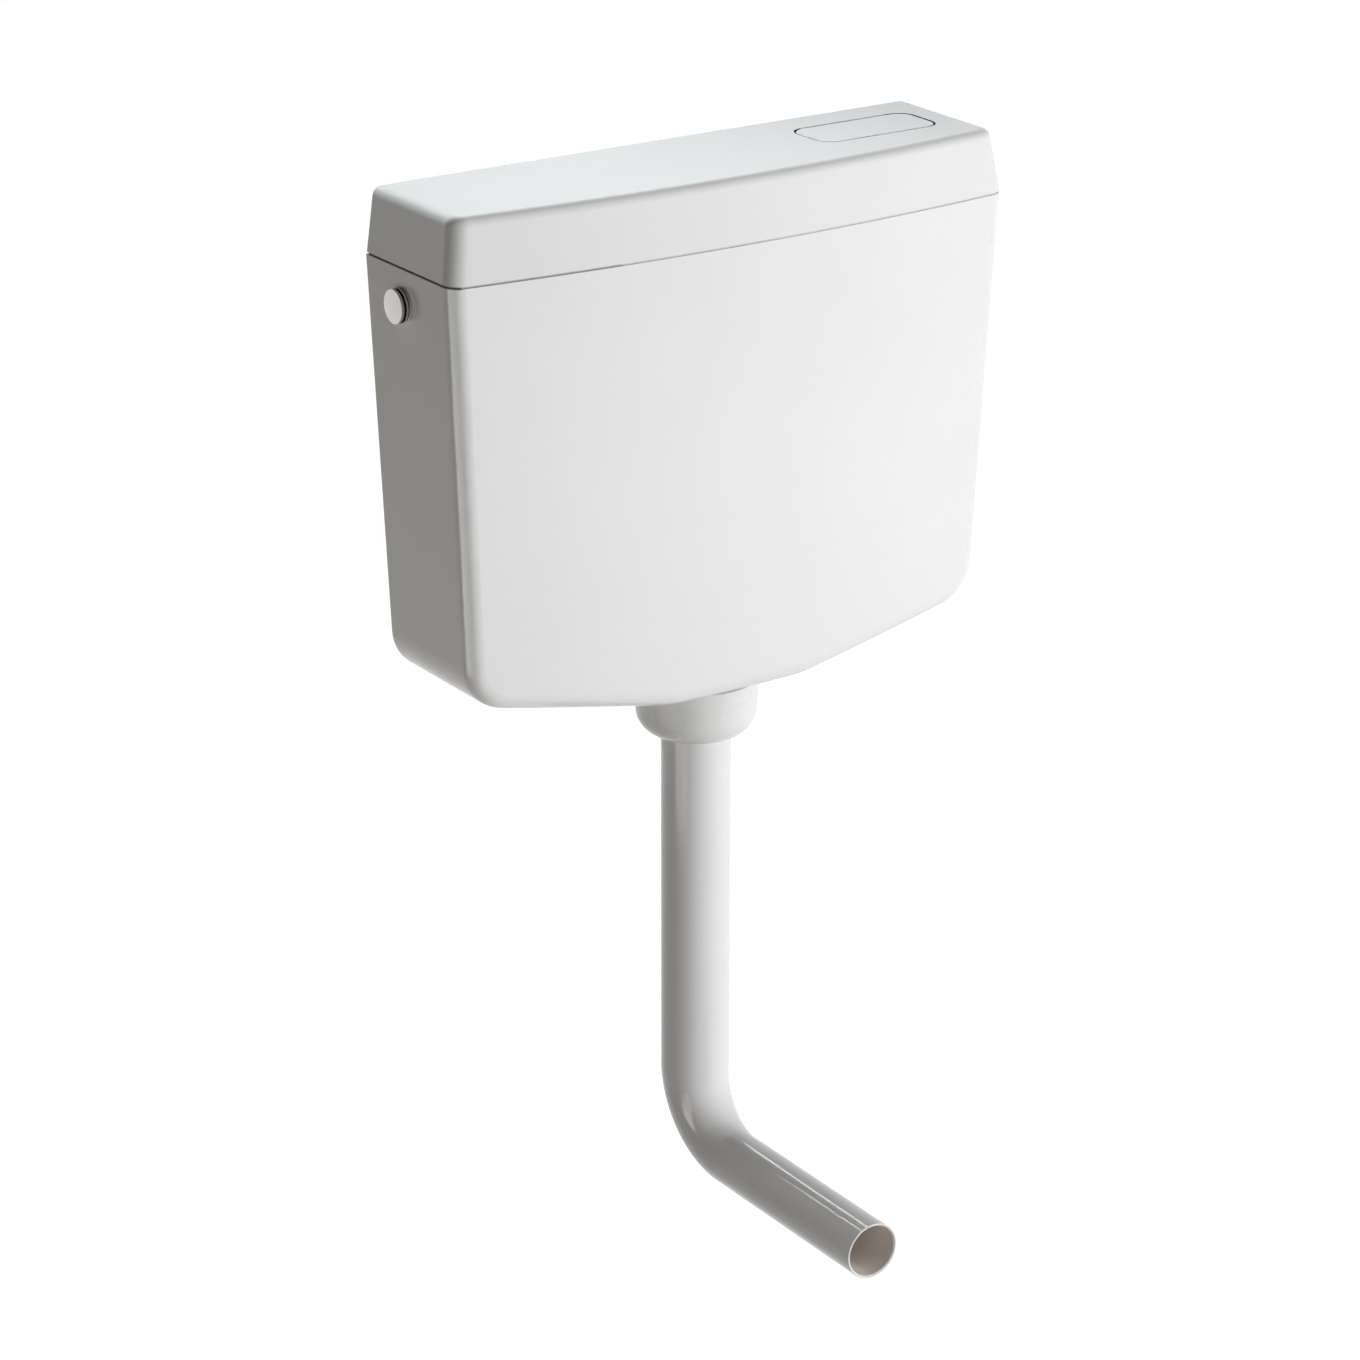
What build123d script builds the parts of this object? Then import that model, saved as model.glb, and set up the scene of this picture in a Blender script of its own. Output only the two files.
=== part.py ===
from build123d import *
import math
import os

# Low-level wall-hung toilet cistern with its push button, inner fittings and flush pipe.
# Millimetres. +X is to the right as seen from the room, +Y goes into the wall, +Z is up.
# The origin lies on the wall, midway between the two wall-screw holes.

os.makedirs("parts", exist_ok=True)

# Shared allowances
overrun = 2.0
fit_gap = 0.3
slip_gap = 0.4
running_gap = 0.05

# Tank
rim = 30.0
tank_width = 449.0
tank_side_depth = 108.8
front_bow = 14.0
tank_drop = 325.2
tank_wall = 3.0
side_draft = 2.7
front_draft = 1.4
floor_flat = 108.0
floor_climb = 10.2
floor_corner_radius = 34.0
floor_crease_radius = 90.0
front_edge_radius = 12.0

# Wall fixing
wall_screw_spacing = 280.0
wall_screw_hole_radius = 4.0
wall_boss_radius = 11.0
wall_boss_height = 4.0

# Insulating liner
liner_wall = 4.0
liner_drop = 46.0
liner_hole_margin = 2.0

# Lid
lid_height = 43.5
lid_draft = 8.0
lid_wall = 2.5
lid_edge_radius = 7.0
lid_back_radius = 1.6
shadow_gap = 1.5
shadow_depth = 1.4
skirt_depth = 6.0
skirt_wall = 1.6
skirt_clearance = 0.6
skirt_flange = 2.0
lid_rib_shares = (-0.80, -0.53, -0.27)
lid_rib_wall = 1.8
lid_rib_height = 7.0
lid_rib_end = 9.0

# Flush button
button_side_inset = 78.5
button_depth = 50.5
button_length = 97.5
button_width = 43.5
button_corner = 11.25
button_gap = 1.5
button_wall = 2.5
button_skirt = 13.0
button_skirt_wall = 1.8
button_edge_radius = 0.8
button_travel = 11.4
catch_width = 12.0
catch_barb = 1.4
catch_height = 2.5
pusher_radius = 4.0
pusher_clearance = 0.4

# Button collar under the lid and the guide screwed below it
collar_wall = 2.0
collar_depth = 16.0
guide_wall = 1.8
guide_floor = 2.0
guide_floor_margin = 1.5
guide_top_gap = 1.5
guide_window_length = 60.0
guide_window_height = 12.0
guide_ear_reach = 11.0
guide_ear_width = 10.0
guide_ear_thickness = 2.5
guide_boss_height = 5.5
guide_boss_radius = 4.0

# Button return spring
spring_mean_radius = 6.4
spring_wire_radius = 0.5
spring_turns = 7

# Self-tapping screws
screw_head_radius = 3.4
screw_head_height = 2.2
screw_shank_radius = 1.4
screw_length = 8.0

# Rocker lever, its bracket and pin
paddle_arm = 53.0
pivot_rise = 2.0
pivot_pin_radius = 2.0
pin_head_radius = 3.4
pin_head_height = 1.2
pin_clip_radius = 3.8
pin_clip_thickness = 0.9
pin_end = 1.4
lever_width = 8.0
lever_boss_radius = 5.5
lever_root_height = 9.0
lever_tip_height = 5.0
lever_fork_slot = 7.6
lever_tine = 4.2
lever_fork_reach = 8.0
lever_fork_root = 15.0
lever_crown_radius = 10.0
lever_crown_height = 4.5
paddle_length = 20.0
paddle_width = 26.0
paddle_top = 3.5
paddle_thickness = 5.0
paddle_corner = 4.0
bracket_width = 22.0
bracket_thickness = 6.0
bracket_drop = 10.0
bracket_end_gap = 1.2
ear_thickness = 3.0
ear_radius = 6.5
ear_side_gap = 0.4
shelf_reach = 9.0
shelf_width = 26.0
shelf_lip = 6.0
shelf_gusset = 20.0
shelf_root = 1.6

# Flush valve
valve_play_share = 0.7463
valve_travel = 20.0
outlet_washer_thickness = 3.0
base_flange_radius = 38.0
base_flange_thickness = 3.0
seat_bore_radius = 24.0
seat_wall = 4.0
seat_height = 9.0
seat_lip_width = 1.6
seat_lip_height = 2.0
tail_radius = 29.8
tail_below_floor = 28.0
tail_socket_depth = 14.0
outlet_nut_height = 8.0
outlet_nut_radius = 38.0
outlet_nut_notch_radius = 3.0
outlet_nut_notches = 8
seal_gap = 0.2
seal_radius = 30.3
seal_thickness = 3.0
tube_radius = 16.0
tube_wall = 2.2
tube_spigot = 6.0
disc_radius = 29.5
disc_thickness = 2.5
overflow_drop = 48.0
seal_clip_wall = 3.4
seal_clip_thickness = 2.2
tube_collar_radius = 18.2
tube_collar_height = 3.5
tube_collar_drop = 5.0
float_ring_radius = 28.5
float_ring_height = 50.0
float_ring_edge = 4.0
cage_ring_inner = 31.6
cage_ring_outer = 36.0
cage_ring_height = 4.0
cage_column_width = 7.0
cage_columns = 4
cage_headroom = 1.5
cage_hub_wall = 3.0
cage_spoke_width = 4.0

# Lift rod, yoke and adjusting collar
rod_radius = 3.0
rod_top_rise = 16.0
rod_head_radius = 5.0
rod_head_height = 2.0
yoke_bridge_thickness = 4.0
yoke_bridge_rise = 14.0
yoke_leg_thickness = 3.0
yoke_width = 9.0
yoke_hook = 2.0
yoke_hook_height = 3.5
yoke_side_gap = 0.3
lift_collar_radius = 9.0
lift_collar_thickness = 3.0
lift_collar_hub_radius = 5.5
lift_collar_hub_height = 4.0

# Side inlets, one on each side of the tank
inlet_depth = 44.0
inlet_drop = 26.5
inlet_thread_radius = 8.33
inlet_hole_radius = 8.75
inlet_face_inset = 0.3
inlet_pad_radius = 11.0
inlet_boss_radius = 15.0
inlet_boss_length = 6.0
inlet_nut_across_flats = 24.0
inlet_nut_height = 6.0
inlet_nut_chamfer = 0.8

# Blanking cap on the left inlet
cap_washer_thickness = 1.2
cap_washer_radius = 11.2
cap_ring_radius = 11.8
cap_ring_thickness = 1.4
cap_neck_radius = 9.8
cap_neck_length = 1.6
cap_disc_radius = 11.6
cap_disc_thickness = 2.0
cap_dome = 0.8
cap_stud_reach = 11.0

# Fill valve on the right inlet
nipple_bore_radius = 5.5
nipple_groove_width = 1.0
nipple_groove_depth = 0.8
nipple_free_length = 14.0
nipple_flange_radius = 12.8
nipple_flange_thickness = 3.0
nipple_socket = 9.0
inlet_washer_thickness = 1.2
fill_sleeve_radius = 12.0
fill_sleeve_length = 17.7
fill_neck_radius = 9.0
fill_neck_length = 6.0
fill_chamber_radius = 13.5
fill_chamber_length = 22.0
fill_cap_radius = 14.5
fill_cap_length = 8.0
fill_cap_ribs = 12
fill_cap_rib_radius = 1.0
orifice_radius = 1.6
piston_radius = 5.0
piston_length = 10.0
piston_stem_radius = 2.0
piston_travel = 4.14
fill_spigot_radius = 4.6
fill_spigot_bore_radius = 3.2
fill_spigot_length = 6.0
fill_tube_radius = 6.5
fill_tube_wall = 1.6
fill_tube_length = 140.0

# Float arm and float
arm_swing = 30.0
arm_pivot_drop = 8.0
arm_pivot_reach = 8.0
arm_pin_radius = 1.6
arm_width = 9.0
arm_boss_radius = 5.0
arm_nose_radius = 2.5
arm_tongue_width = 3.6
arm_nose_reach = 8.0
arm_length = 92.0
arm_root_height = 8.0
arm_tip_height = 6.0
arm_ear_thickness = 3.0
arm_ear_gap = 0.5
arm_ear_height = 14.0
float_start = 40.0
float_length = 60.0
float_height = 44.0
float_width = 54.0
float_corner = 8.0
float_edge = 3.0
saddle_drop = 3.0
saddle_length = 40.0
saddle_cheek = 3.0
saddle_grip = 4.0

# Flush pipe and the cup nut that holds it
pipe_radius = 25.0
pipe_wall = 2.2
pipe_leg_radius = 20.8
pipe_leg_wall = 2.0
pipe_bend_radius = 54.0
pipe_drop = 687.8
pipe_reach = 278.9
pipe_end_round = 0.5
pipe_end_chamfer = 0.9
cup_gap = 0.5
cup_top_radius = 45.3
cup_waist_radius = 43.0
cup_bowl_radius = 18.0
cup_depth = 45.0
cup_wall = 2.5
cup_sleeve_wall = 2.7
cup_sleeve_top = 12.0
cup_shoulder = 8.5
pipe_seal_gap = 0.2

# Places worked out from the sizes above
tank_half = tank_width / 2
floor_bottom = rim - tank_drop
floor_top = floor_bottom + tank_wall
lid_top = rim + lid_height
lid_ceiling = lid_top - lid_wall
# The outlet takes its share of the play that its flange has on the flat floor, from back to front
floor_front = tank_side_depth + front_bow - front_edge_radius
floor_front = floor_front - tank_drop * math.tan(math.radians(front_draft))
floor_play = floor_front - tank_wall - 2 * base_flange_radius
valve_depth = tank_wall + base_flange_radius + valve_play_share * floor_play
valve_y = -valve_depth
button_x = tank_half - button_side_inset
button_y = -button_depth
inlet_y = -inlet_depth
inlet_z = rim - inlet_drop
inlet_face = tank_half - inlet_face_inset
inlet_inner_face = inlet_face - inlet_boss_length
pivot_x = button_x - paddle_arm
pivot_z = rim + pivot_rise
bracket_top = rim - bracket_drop
shelf_top = bracket_top - bracket_thickness


# Distance from the wall to the bowed front, measured at x across and some way below the rim.
def front_distance(x, below_rim):
    radius = (tank_half**2 + front_bow**2) / (2 * front_bow)
    sag = radius - math.sqrt(radius**2 - x**2)
    return tank_side_depth + front_bow - sag - below_rim * math.tan(math.radians(front_draft))


# Plan of the rim, set in from the outside by an equal amount all round.
def rim_outline(inset):
    half = tank_half - inset
    front = tank_side_depth - inset
    with BuildSketch() as outline:
        with BuildLine():
            Polyline((half, -front), (half, -inset), (-half, -inset), (-half, -front))
            ThreePointArc((-half, -front), (0, -front - front_bow), (half, -front))
        make_face()
        fillet(outline.vertices().group_by(Axis.Y)[0], front_edge_radius - inset)
    return outline.sketch


# Sharp block that grows from the rim, up or down, while its sides and bowed front lean in.
def bowed_block(inset, height, side_lean, front_lean):
    half = tank_half - inset
    front = tank_side_depth - inset
    with BuildPart() as block:
        with BuildSketch(Plane.XY.offset(rim)):
            with BuildLine():
                Polyline((half, -front), (half, -inset), (-half, -inset), (-half, -front))
                ThreePointArc((-half, -front), (0, -front - front_bow), (half, -front))
            make_face()
        extrude(amount=height)
        sides = block.faces().filter_by(Axis.X)
        draft(sides, Plane.XY.offset(rim), math.copysign(side_lean, height))
        bowed_front = block.faces().filter_by(GeomType.CYLINDER)
        draft(bowed_front, Plane.XY.offset(rim), math.copysign(front_lean, height))
    return block.part


# Form of the tank, set in by the given amount: climbing floor, round corners and front edges.
def tank_form(inset):
    bottom = floor_bottom + inset
    far = tank_width
    climb = math.tan(math.radians(floor_climb))
    with BuildPart() as form:
        add(bowed_block(inset, bottom - rim, side_draft, front_draft))
        for side in (1, -1):
            with BuildSketch(Plane.XZ):
                with BuildLine():
                    Polyline(
                        (side * floor_flat / 2, bottom),
                        (side * far, bottom + (far - floor_flat / 2) * climb),
                        (side * far, bottom - overrun),
                        (side * floor_flat / 2, bottom - overrun),
                        close=True,
                    )
                make_face()
            extrude(amount=far, both=True, mode=Mode.SUBTRACT)
        fillet(form.edges().filter_by(Axis.Y).group_by(Axis.Z)[1], floor_corner_radius - inset)
        fillet(form.edges().filter_by(Axis.Y).group_by(Axis.Z)[0], floor_crease_radius - inset)
        front_face = form.faces().filter_by(GeomType.CONE).sort_by(Axis.Y)[0]
        fillet(front_face.edges().sort_by(Axis.Z)[:-1], front_edge_radius - inset)
    return form.part


# Form of the lid, set in by the given amount: leaning sides and a round top edge.
def lid_form(inset):
    with BuildPart() as form:
        add(bowed_block(inset, lid_height - inset, lid_draft, lid_draft))
        front_face = form.faces().filter_by(GeomType.CONE).sort_by(Axis.Y)[0]
        sides = front_face.edges().sort_by(Axis.X)
        fillet([sides[0], sides[-1]], front_edge_radius - inset)
        top_face = form.faces().sort_by(Axis.Z)[-1]
        fillet(top_face.edges().sort_by(Axis.Y)[:-1], lid_edge_radius - inset)
        if inset < lid_back_radius:
            back_face = form.faces().filter_by(Axis.Y).sort_by(Axis.Y)[-1]
            fillet(back_face.edges().sort_by(Axis.Z)[1:], lid_back_radius - inset)
    return form.part


# Plane across a side inlet's axis, x out from the middle of the tank and facing outwards.
def inlet_plane(side, x):
    return Plane(origin=(side * x, inlet_y, inlet_z), x_dir=(0, 1, 0), z_dir=(side, 0, 0))


# Plane through a side inlet's axis, for half sections: across is the radius, up is outwards.
def inlet_section(side):
    return Plane(origin=(0, inlet_y, inlet_z), x_dir=(0, 0, 1), z_dir=(0, side, 0))


inlet_axis = Axis((0, inlet_y, inlet_z), (1, 0, 0))
valve_axis = Axis((0, valve_y, 0), (0, 0, 1))
valve_section = Plane(origin=(0, valve_y, 0), x_dir=(1, 0, 0), z_dir=(0, -1, 0))

# Tank
back_shelf_y = -tank_wall
front_shelf_y = tank_wall - front_distance(pivot_x, rim - shelf_top)
shelf_hole_depth = screw_length - bracket_thickness + overrun
shelf_hole_places = (
    (pivot_x, back_shelf_y - shelf_reach / 2),
    (pivot_x, front_shelf_y + shelf_reach / 2),
)
outlet_hole_radius = tail_radius + slip_gap

with BuildPart() as cistern_body:
    add(tank_form(0))
    add(tank_form(tank_wall), mode=Mode.SUBTRACT)
    with BuildSketch(Plane.XY.offset(rim)):
        add(rim_outline(-overrun))
        add(rim_outline(shadow_depth), mode=Mode.SUBTRACT)
    extrude(amount=-shadow_gap, mode=Mode.SUBTRACT)
    # Bosses that square up the leaning side walls round the inlets
    for side in (1, -1):
        with BuildSketch(inlet_plane(side, inlet_inner_face)):
            Circle(inlet_boss_radius)
        extrude(amount=inlet_boss_length / 2)
        with BuildSketch(inlet_plane(side, inlet_inner_face)):
            Circle(inlet_pad_radius)
        extrude(amount=inlet_boss_length)
        with BuildSketch(inlet_plane(side, inlet_inner_face - overrun)):
            Circle(inlet_hole_radius)
        extrude(amount=inlet_boss_length + 2 * overrun, mode=Mode.SUBTRACT)
    # Wall-screw bosses inside the back
    with BuildSketch(Plane.XZ.offset(tank_wall)):
        with GridLocations(wall_screw_spacing, 0, 2, 1):
            Circle(wall_boss_radius)
    extrude(amount=wall_boss_height)
    with BuildSketch(Plane.XZ):
        with GridLocations(wall_screw_spacing, 0, 2, 1):
            Circle(wall_screw_hole_radius)
    extrude(amount=tank_wall + wall_boss_height, mode=Mode.SUBTRACT)
    # Gusseted shelves that carry the lever bracket, on the back wall and on the front wall
    with BuildSketch(Plane.YZ.offset(pivot_x - shelf_width / 2)):
        for wall_y, inwards in ((back_shelf_y, -1), (front_shelf_y, 1)):
            with BuildLine():
                Polyline(
                    (wall_y - inwards * shelf_root, shelf_top),
                    (wall_y + inwards * shelf_reach, shelf_top),
                    (wall_y + inwards * shelf_reach, shelf_top - shelf_lip),
                    (wall_y - inwards * shelf_root, shelf_top - shelf_gusset),
                    close=True,
                )
            make_face()
    extrude(amount=shelf_width)
    with BuildSketch(Plane.XY.offset(shelf_top)):
        with Locations(*shelf_hole_places):
            Circle(screw_shank_radius + running_gap)
    extrude(amount=-shelf_hole_depth, mode=Mode.SUBTRACT)
    # Outlet hole
    with BuildSketch(Plane.XY.offset(floor_top + overrun)):
        with Locations((0, valve_y)):
            Circle(outlet_hole_radius)
    extrude(amount=-tank_wall - 2 * overrun, mode=Mode.SUBTRACT)

# Insulating liner against condensation, below the fittings' holes
liner_inset = tank_wall + fit_gap
with BuildPart() as insulation_liner:
    add(tank_form(liner_inset))
    add(tank_form(liner_inset + liner_wall), mode=Mode.SUBTRACT)
    with BuildSketch(Plane.XY.offset(rim - liner_drop)):
        Rectangle(2 * tank_width, 2 * tank_width)
    extrude(amount=liner_drop + overrun, mode=Mode.SUBTRACT)
    with BuildSketch(Plane.XY.offset(floor_bottom)):
        with Locations((0, valve_y)):
            Circle(base_flange_radius + liner_hole_margin)
    extrude(amount=liner_inset + liner_wall + overrun, mode=Mode.SUBTRACT)

# Lid
collar_bottom = lid_top - collar_depth
aperture_length = button_length + 2 * button_gap
aperture_width = button_width + 2 * button_gap
aperture_corner = button_corner + button_gap
guide_half_length = aperture_length / 2 + collar_wall + fit_gap + guide_wall
guide_screw_offset = guide_half_length + guide_ear_reach / 2
guide_screw_places = (
    (button_x - guide_screw_offset, button_y),
    (button_x + guide_screw_offset, button_y),
)
with BuildPart() as lid:
    add(lid_form(0))
    add(lid_form(lid_wall), mode=Mode.SUBTRACT)
    # Locating skirt that drops inside the rim
    with BuildSketch(Plane.XY.offset(rim)):
        add(rim_outline(lid_wall / 2))
        add(rim_outline(tank_wall + skirt_clearance + skirt_wall), mode=Mode.SUBTRACT)
    extrude(amount=skirt_flange)
    with BuildSketch(Plane.XY.offset(rim)):
        add(rim_outline(tank_wall + skirt_clearance))
        add(rim_outline(tank_wall + skirt_clearance + skirt_wall), mode=Mode.SUBTRACT)
    extrude(amount=-skirt_depth)
    # Stiffening ribs under the top
    with BuildSketch(Plane.XY.offset(lid_ceiling)):
        with Locations(*[(share * tank_half, -tank_side_depth / 2) for share in lid_rib_shares]):
            Rectangle(lid_rib_wall, tank_side_depth - 2 * lid_rib_end)
    extrude(amount=-lid_rib_height)
    # Collar round the button, with the screw bosses of the guide
    with BuildSketch(Plane.XY.offset(lid_ceiling)):
        with Locations((button_x, button_y)):
            RectangleRounded(
                aperture_length + 2 * collar_wall,
                aperture_width + 2 * collar_wall,
                aperture_corner + collar_wall,
            )
    extrude(amount=collar_bottom - lid_ceiling)
    with BuildSketch(Plane.XY.offset(lid_ceiling)):
        with Locations(*guide_screw_places):
            Circle(guide_boss_radius)
    extrude(amount=-guide_boss_height)
    with BuildSketch(Plane.XY.offset(lid_ceiling - guide_boss_height)):
        with Locations(*guide_screw_places):
            Circle(screw_shank_radius + running_gap)
    extrude(amount=guide_boss_height, mode=Mode.SUBTRACT)
    with BuildSketch(Plane.XY.offset(lid_top + overrun)):
        with Locations((button_x, button_y)):
            RectangleRounded(aperture_length, aperture_width, aperture_corner)
    extrude(amount=-collar_depth - 2 * overrun, mode=Mode.SUBTRACT)

# Flush button: a hollow cap with end catches and a rounded pusher
button_ceiling = lid_top - button_wall
pusher_tip = pivot_z + paddle_top + pusher_clearance
catch_top = collar_bottom - fit_gap
with BuildPart() as flush_button:
    with BuildSketch(Plane.XY.offset(lid_top)):
        with Locations((button_x, button_y)):
            RectangleRounded(button_length, button_width, button_corner)
    extrude(amount=-button_wall - button_skirt)
    fillet(flush_button.faces().sort_by(Axis.Z)[-1].edges(), button_edge_radius)
    with BuildSketch(Plane.XY.offset(button_ceiling)):
        with Locations((button_x, button_y)):
            RectangleRounded(
                button_length - 2 * button_skirt_wall,
                button_width - 2 * button_skirt_wall,
                button_corner - button_skirt_wall,
            )
    extrude(amount=-button_skirt, mode=Mode.SUBTRACT)
    # Catches at both ends, hooked under the collar
    with BuildSketch(Plane.XZ.offset(button_depth)):
        for end in (1, -1):
            outside = button_x + end * button_length / 2
            with BuildLine():
                Polyline(
                    (outside - end * button_skirt_wall, button_ceiling),
                    (outside, button_ceiling),
                    (outside, catch_top),
                    (outside + end * (button_gap + catch_barb), catch_top),
                    (outside, catch_top - catch_height),
                    (outside - end * button_skirt_wall, catch_top - catch_height),
                    close=True,
                )
            make_face()
    extrude(amount=catch_width / 2, both=True)
    with BuildSketch(Plane(origin=(button_x, button_y, 0), x_dir=(1, 0, 0), z_dir=(0, -1, 0))):
        with BuildLine():
            Line((0, pusher_tip), (0, button_ceiling))
            Line((0, button_ceiling), (pusher_radius, button_ceiling))
            Line((pusher_radius, button_ceiling), (pusher_radius, pusher_tip + pusher_radius))
            RadiusArc((pusher_radius, pusher_tip + pusher_radius), (0, pusher_tip), pusher_radius)
        make_face()
    revolve(axis=Axis((button_x, button_y, 0), (0, 0, 1)))

# Guide tray screwed under the lid, round the collar
guide_floor_top = catch_top - catch_height - button_travel - guide_floor_margin
guide_bottom = guide_floor_top - guide_floor
guide_top = lid_ceiling - guide_top_gap
guide_ear_top = lid_ceiling - guide_boss_height
guide_inner_length = aperture_length + 2 * (collar_wall + fit_gap)
guide_inner_width = aperture_width + 2 * (collar_wall + fit_gap)
guide_inner_corner = aperture_corner + collar_wall + fit_gap
with BuildPart() as button_guide:
    with BuildSketch(Plane.XY.offset(guide_bottom)):
        with Locations((button_x, button_y)):
            RectangleRounded(
                guide_inner_length + 2 * guide_wall,
                guide_inner_width + 2 * guide_wall,
                guide_inner_corner + guide_wall,
            )
    extrude(amount=guide_top - guide_bottom)
    with BuildSketch(Plane.XY.offset(guide_ear_top)):
        with Locations((button_x, button_y)):
            SlotCenterToCenter(2 * guide_screw_offset, guide_ear_width)
    extrude(amount=-guide_ear_thickness)
    with BuildSketch(Plane.XY.offset(guide_floor_top)):
        with Locations((button_x, button_y)):
            RectangleRounded(guide_inner_length, guide_inner_width, guide_inner_corner)
    extrude(amount=guide_top - guide_floor_top, mode=Mode.SUBTRACT)
    # Windows in the long sides
    window_z = (guide_floor_top + guide_ear_top) / 2
    with BuildSketch(Plane.XZ.offset(button_depth)):
        with Locations((button_x, window_z)):
            Rectangle(guide_window_length, guide_window_height)
    extrude(amount=guide_inner_width, both=True, mode=Mode.SUBTRACT)
    with BuildSketch(Plane.XY.offset(guide_bottom)):
        with Locations((button_x, button_y)):
            Circle(pusher_radius + slip_gap)
        with Locations(*guide_screw_places):
            Circle(screw_shank_radius + slip_gap)
    extrude(amount=guide_top - guide_bottom, mode=Mode.SUBTRACT)

with BuildPart() as guide_screws:
    with BuildSketch(Plane.XY.offset(guide_ear_top - guide_ear_thickness)):
        with Locations(*guide_screw_places):
            Circle(screw_head_radius)
    extrude(amount=-screw_head_height)
    fillet(guide_screws.edges().group_by(Axis.Z)[0], screw_head_height / 2)
    with BuildSketch(Plane.XY.offset(guide_ear_top - guide_ear_thickness)):
        with Locations(*guide_screw_places):
            Circle(screw_shank_radius)
    extrude(amount=screw_length - overrun)

# Return spring round the pusher, standing on the guide's floor
spring_length = button_ceiling - guide_floor_top - 2 * (spring_wire_radius + fit_gap)
spring_base = guide_floor_top + spring_wire_radius + fit_gap
with BuildPart() as button_spring:
    with BuildLine(Plane(origin=(button_x, button_y, spring_base))):
        coil = Helix(spring_length / spring_turns, spring_length, spring_mean_radius)
    with BuildSketch(Plane(origin=coil @ 0, z_dir=coil % 0)):
        Circle(spring_wire_radius)
    sweep(path=coil, is_frenet=True)

# Lever bracket across the tank, on the two shelves
lever_plane = Plane.XZ.offset(valve_depth)
ear_inner = lever_width / 2 + ear_side_gap
ear_outer = ear_inner + ear_thickness
bracket_back = back_shelf_y - bracket_end_gap
bracket_front = front_shelf_y + bracket_end_gap
with BuildPart() as lever_bracket:
    with BuildSketch(Plane.XY.offset(shelf_top)):
        with Locations((pivot_x, (bracket_back + bracket_front) / 2)):
            Rectangle(bracket_width, bracket_back - bracket_front)
    extrude(amount=bracket_thickness)
    with BuildSketch(lever_plane):
        with BuildLine():
            Polyline(
                (pivot_x - bracket_width / 2, bracket_top),
                (pivot_x + bracket_width / 2, bracket_top),
                (pivot_x + ear_radius, pivot_z),
                (pivot_x - ear_radius, pivot_z),
                close=True,
            )
        make_face()
        with Locations((pivot_x, pivot_z)):
            Circle(ear_radius)
    extrude(amount=ear_outer, both=True)
    with BuildSketch(Plane.XY.offset(bracket_top)):
        with Locations((pivot_x, valve_y)):
            Rectangle(2 * bracket_width, 2 * ear_inner)
    extrude(amount=pivot_z + 2 * ear_radius - bracket_top, mode=Mode.SUBTRACT)
    with BuildSketch(lever_plane):
        with Locations((pivot_x, pivot_z)):
            Circle(pivot_pin_radius + running_gap)
    extrude(amount=2 * ear_outer, both=True, mode=Mode.SUBTRACT)
    with BuildSketch(Plane.XY.offset(bracket_top)):
        with Locations(*shelf_hole_places):
            Circle(screw_shank_radius + slip_gap)
    extrude(amount=-bracket_thickness, mode=Mode.SUBTRACT)

with BuildPart() as bracket_screws:
    with BuildSketch(Plane.XY.offset(bracket_top)):
        with Locations(*shelf_hole_places):
            Circle(screw_head_radius)
    extrude(amount=screw_head_height)
    fillet(bracket_screws.edges().group_by(Axis.Z)[-1], screw_head_height / 2)
    with BuildSketch(Plane.XY.offset(bracket_top)):
        with Locations(*shelf_hole_places):
            Circle(screw_shank_radius)
    extrude(amount=-screw_length)

pin_clip_place = ear_outer + fit_gap
with BuildPart() as lever_pin:
    with BuildSketch(lever_plane.offset(-ear_outer - fit_gap)):
        with Locations((pivot_x, pivot_z)):
            Circle(pin_head_radius)
    extrude(amount=-pin_head_height)
    with BuildSketch(lever_plane.offset(-ear_outer - fit_gap)):
        with Locations((pivot_x, pivot_z)):
            Circle(pivot_pin_radius)
    extrude(amount=ear_outer + fit_gap + pin_clip_place + pin_clip_thickness + pin_end)

with BuildPart() as lever_clip:
    with BuildSketch(lever_plane.offset(pin_clip_place)):
        with Locations((pivot_x, pivot_z)):
            Circle(pin_clip_radius)
            Circle(pivot_pin_radius + running_gap, mode=Mode.SUBTRACT)
    extrude(amount=pin_clip_thickness)

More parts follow.
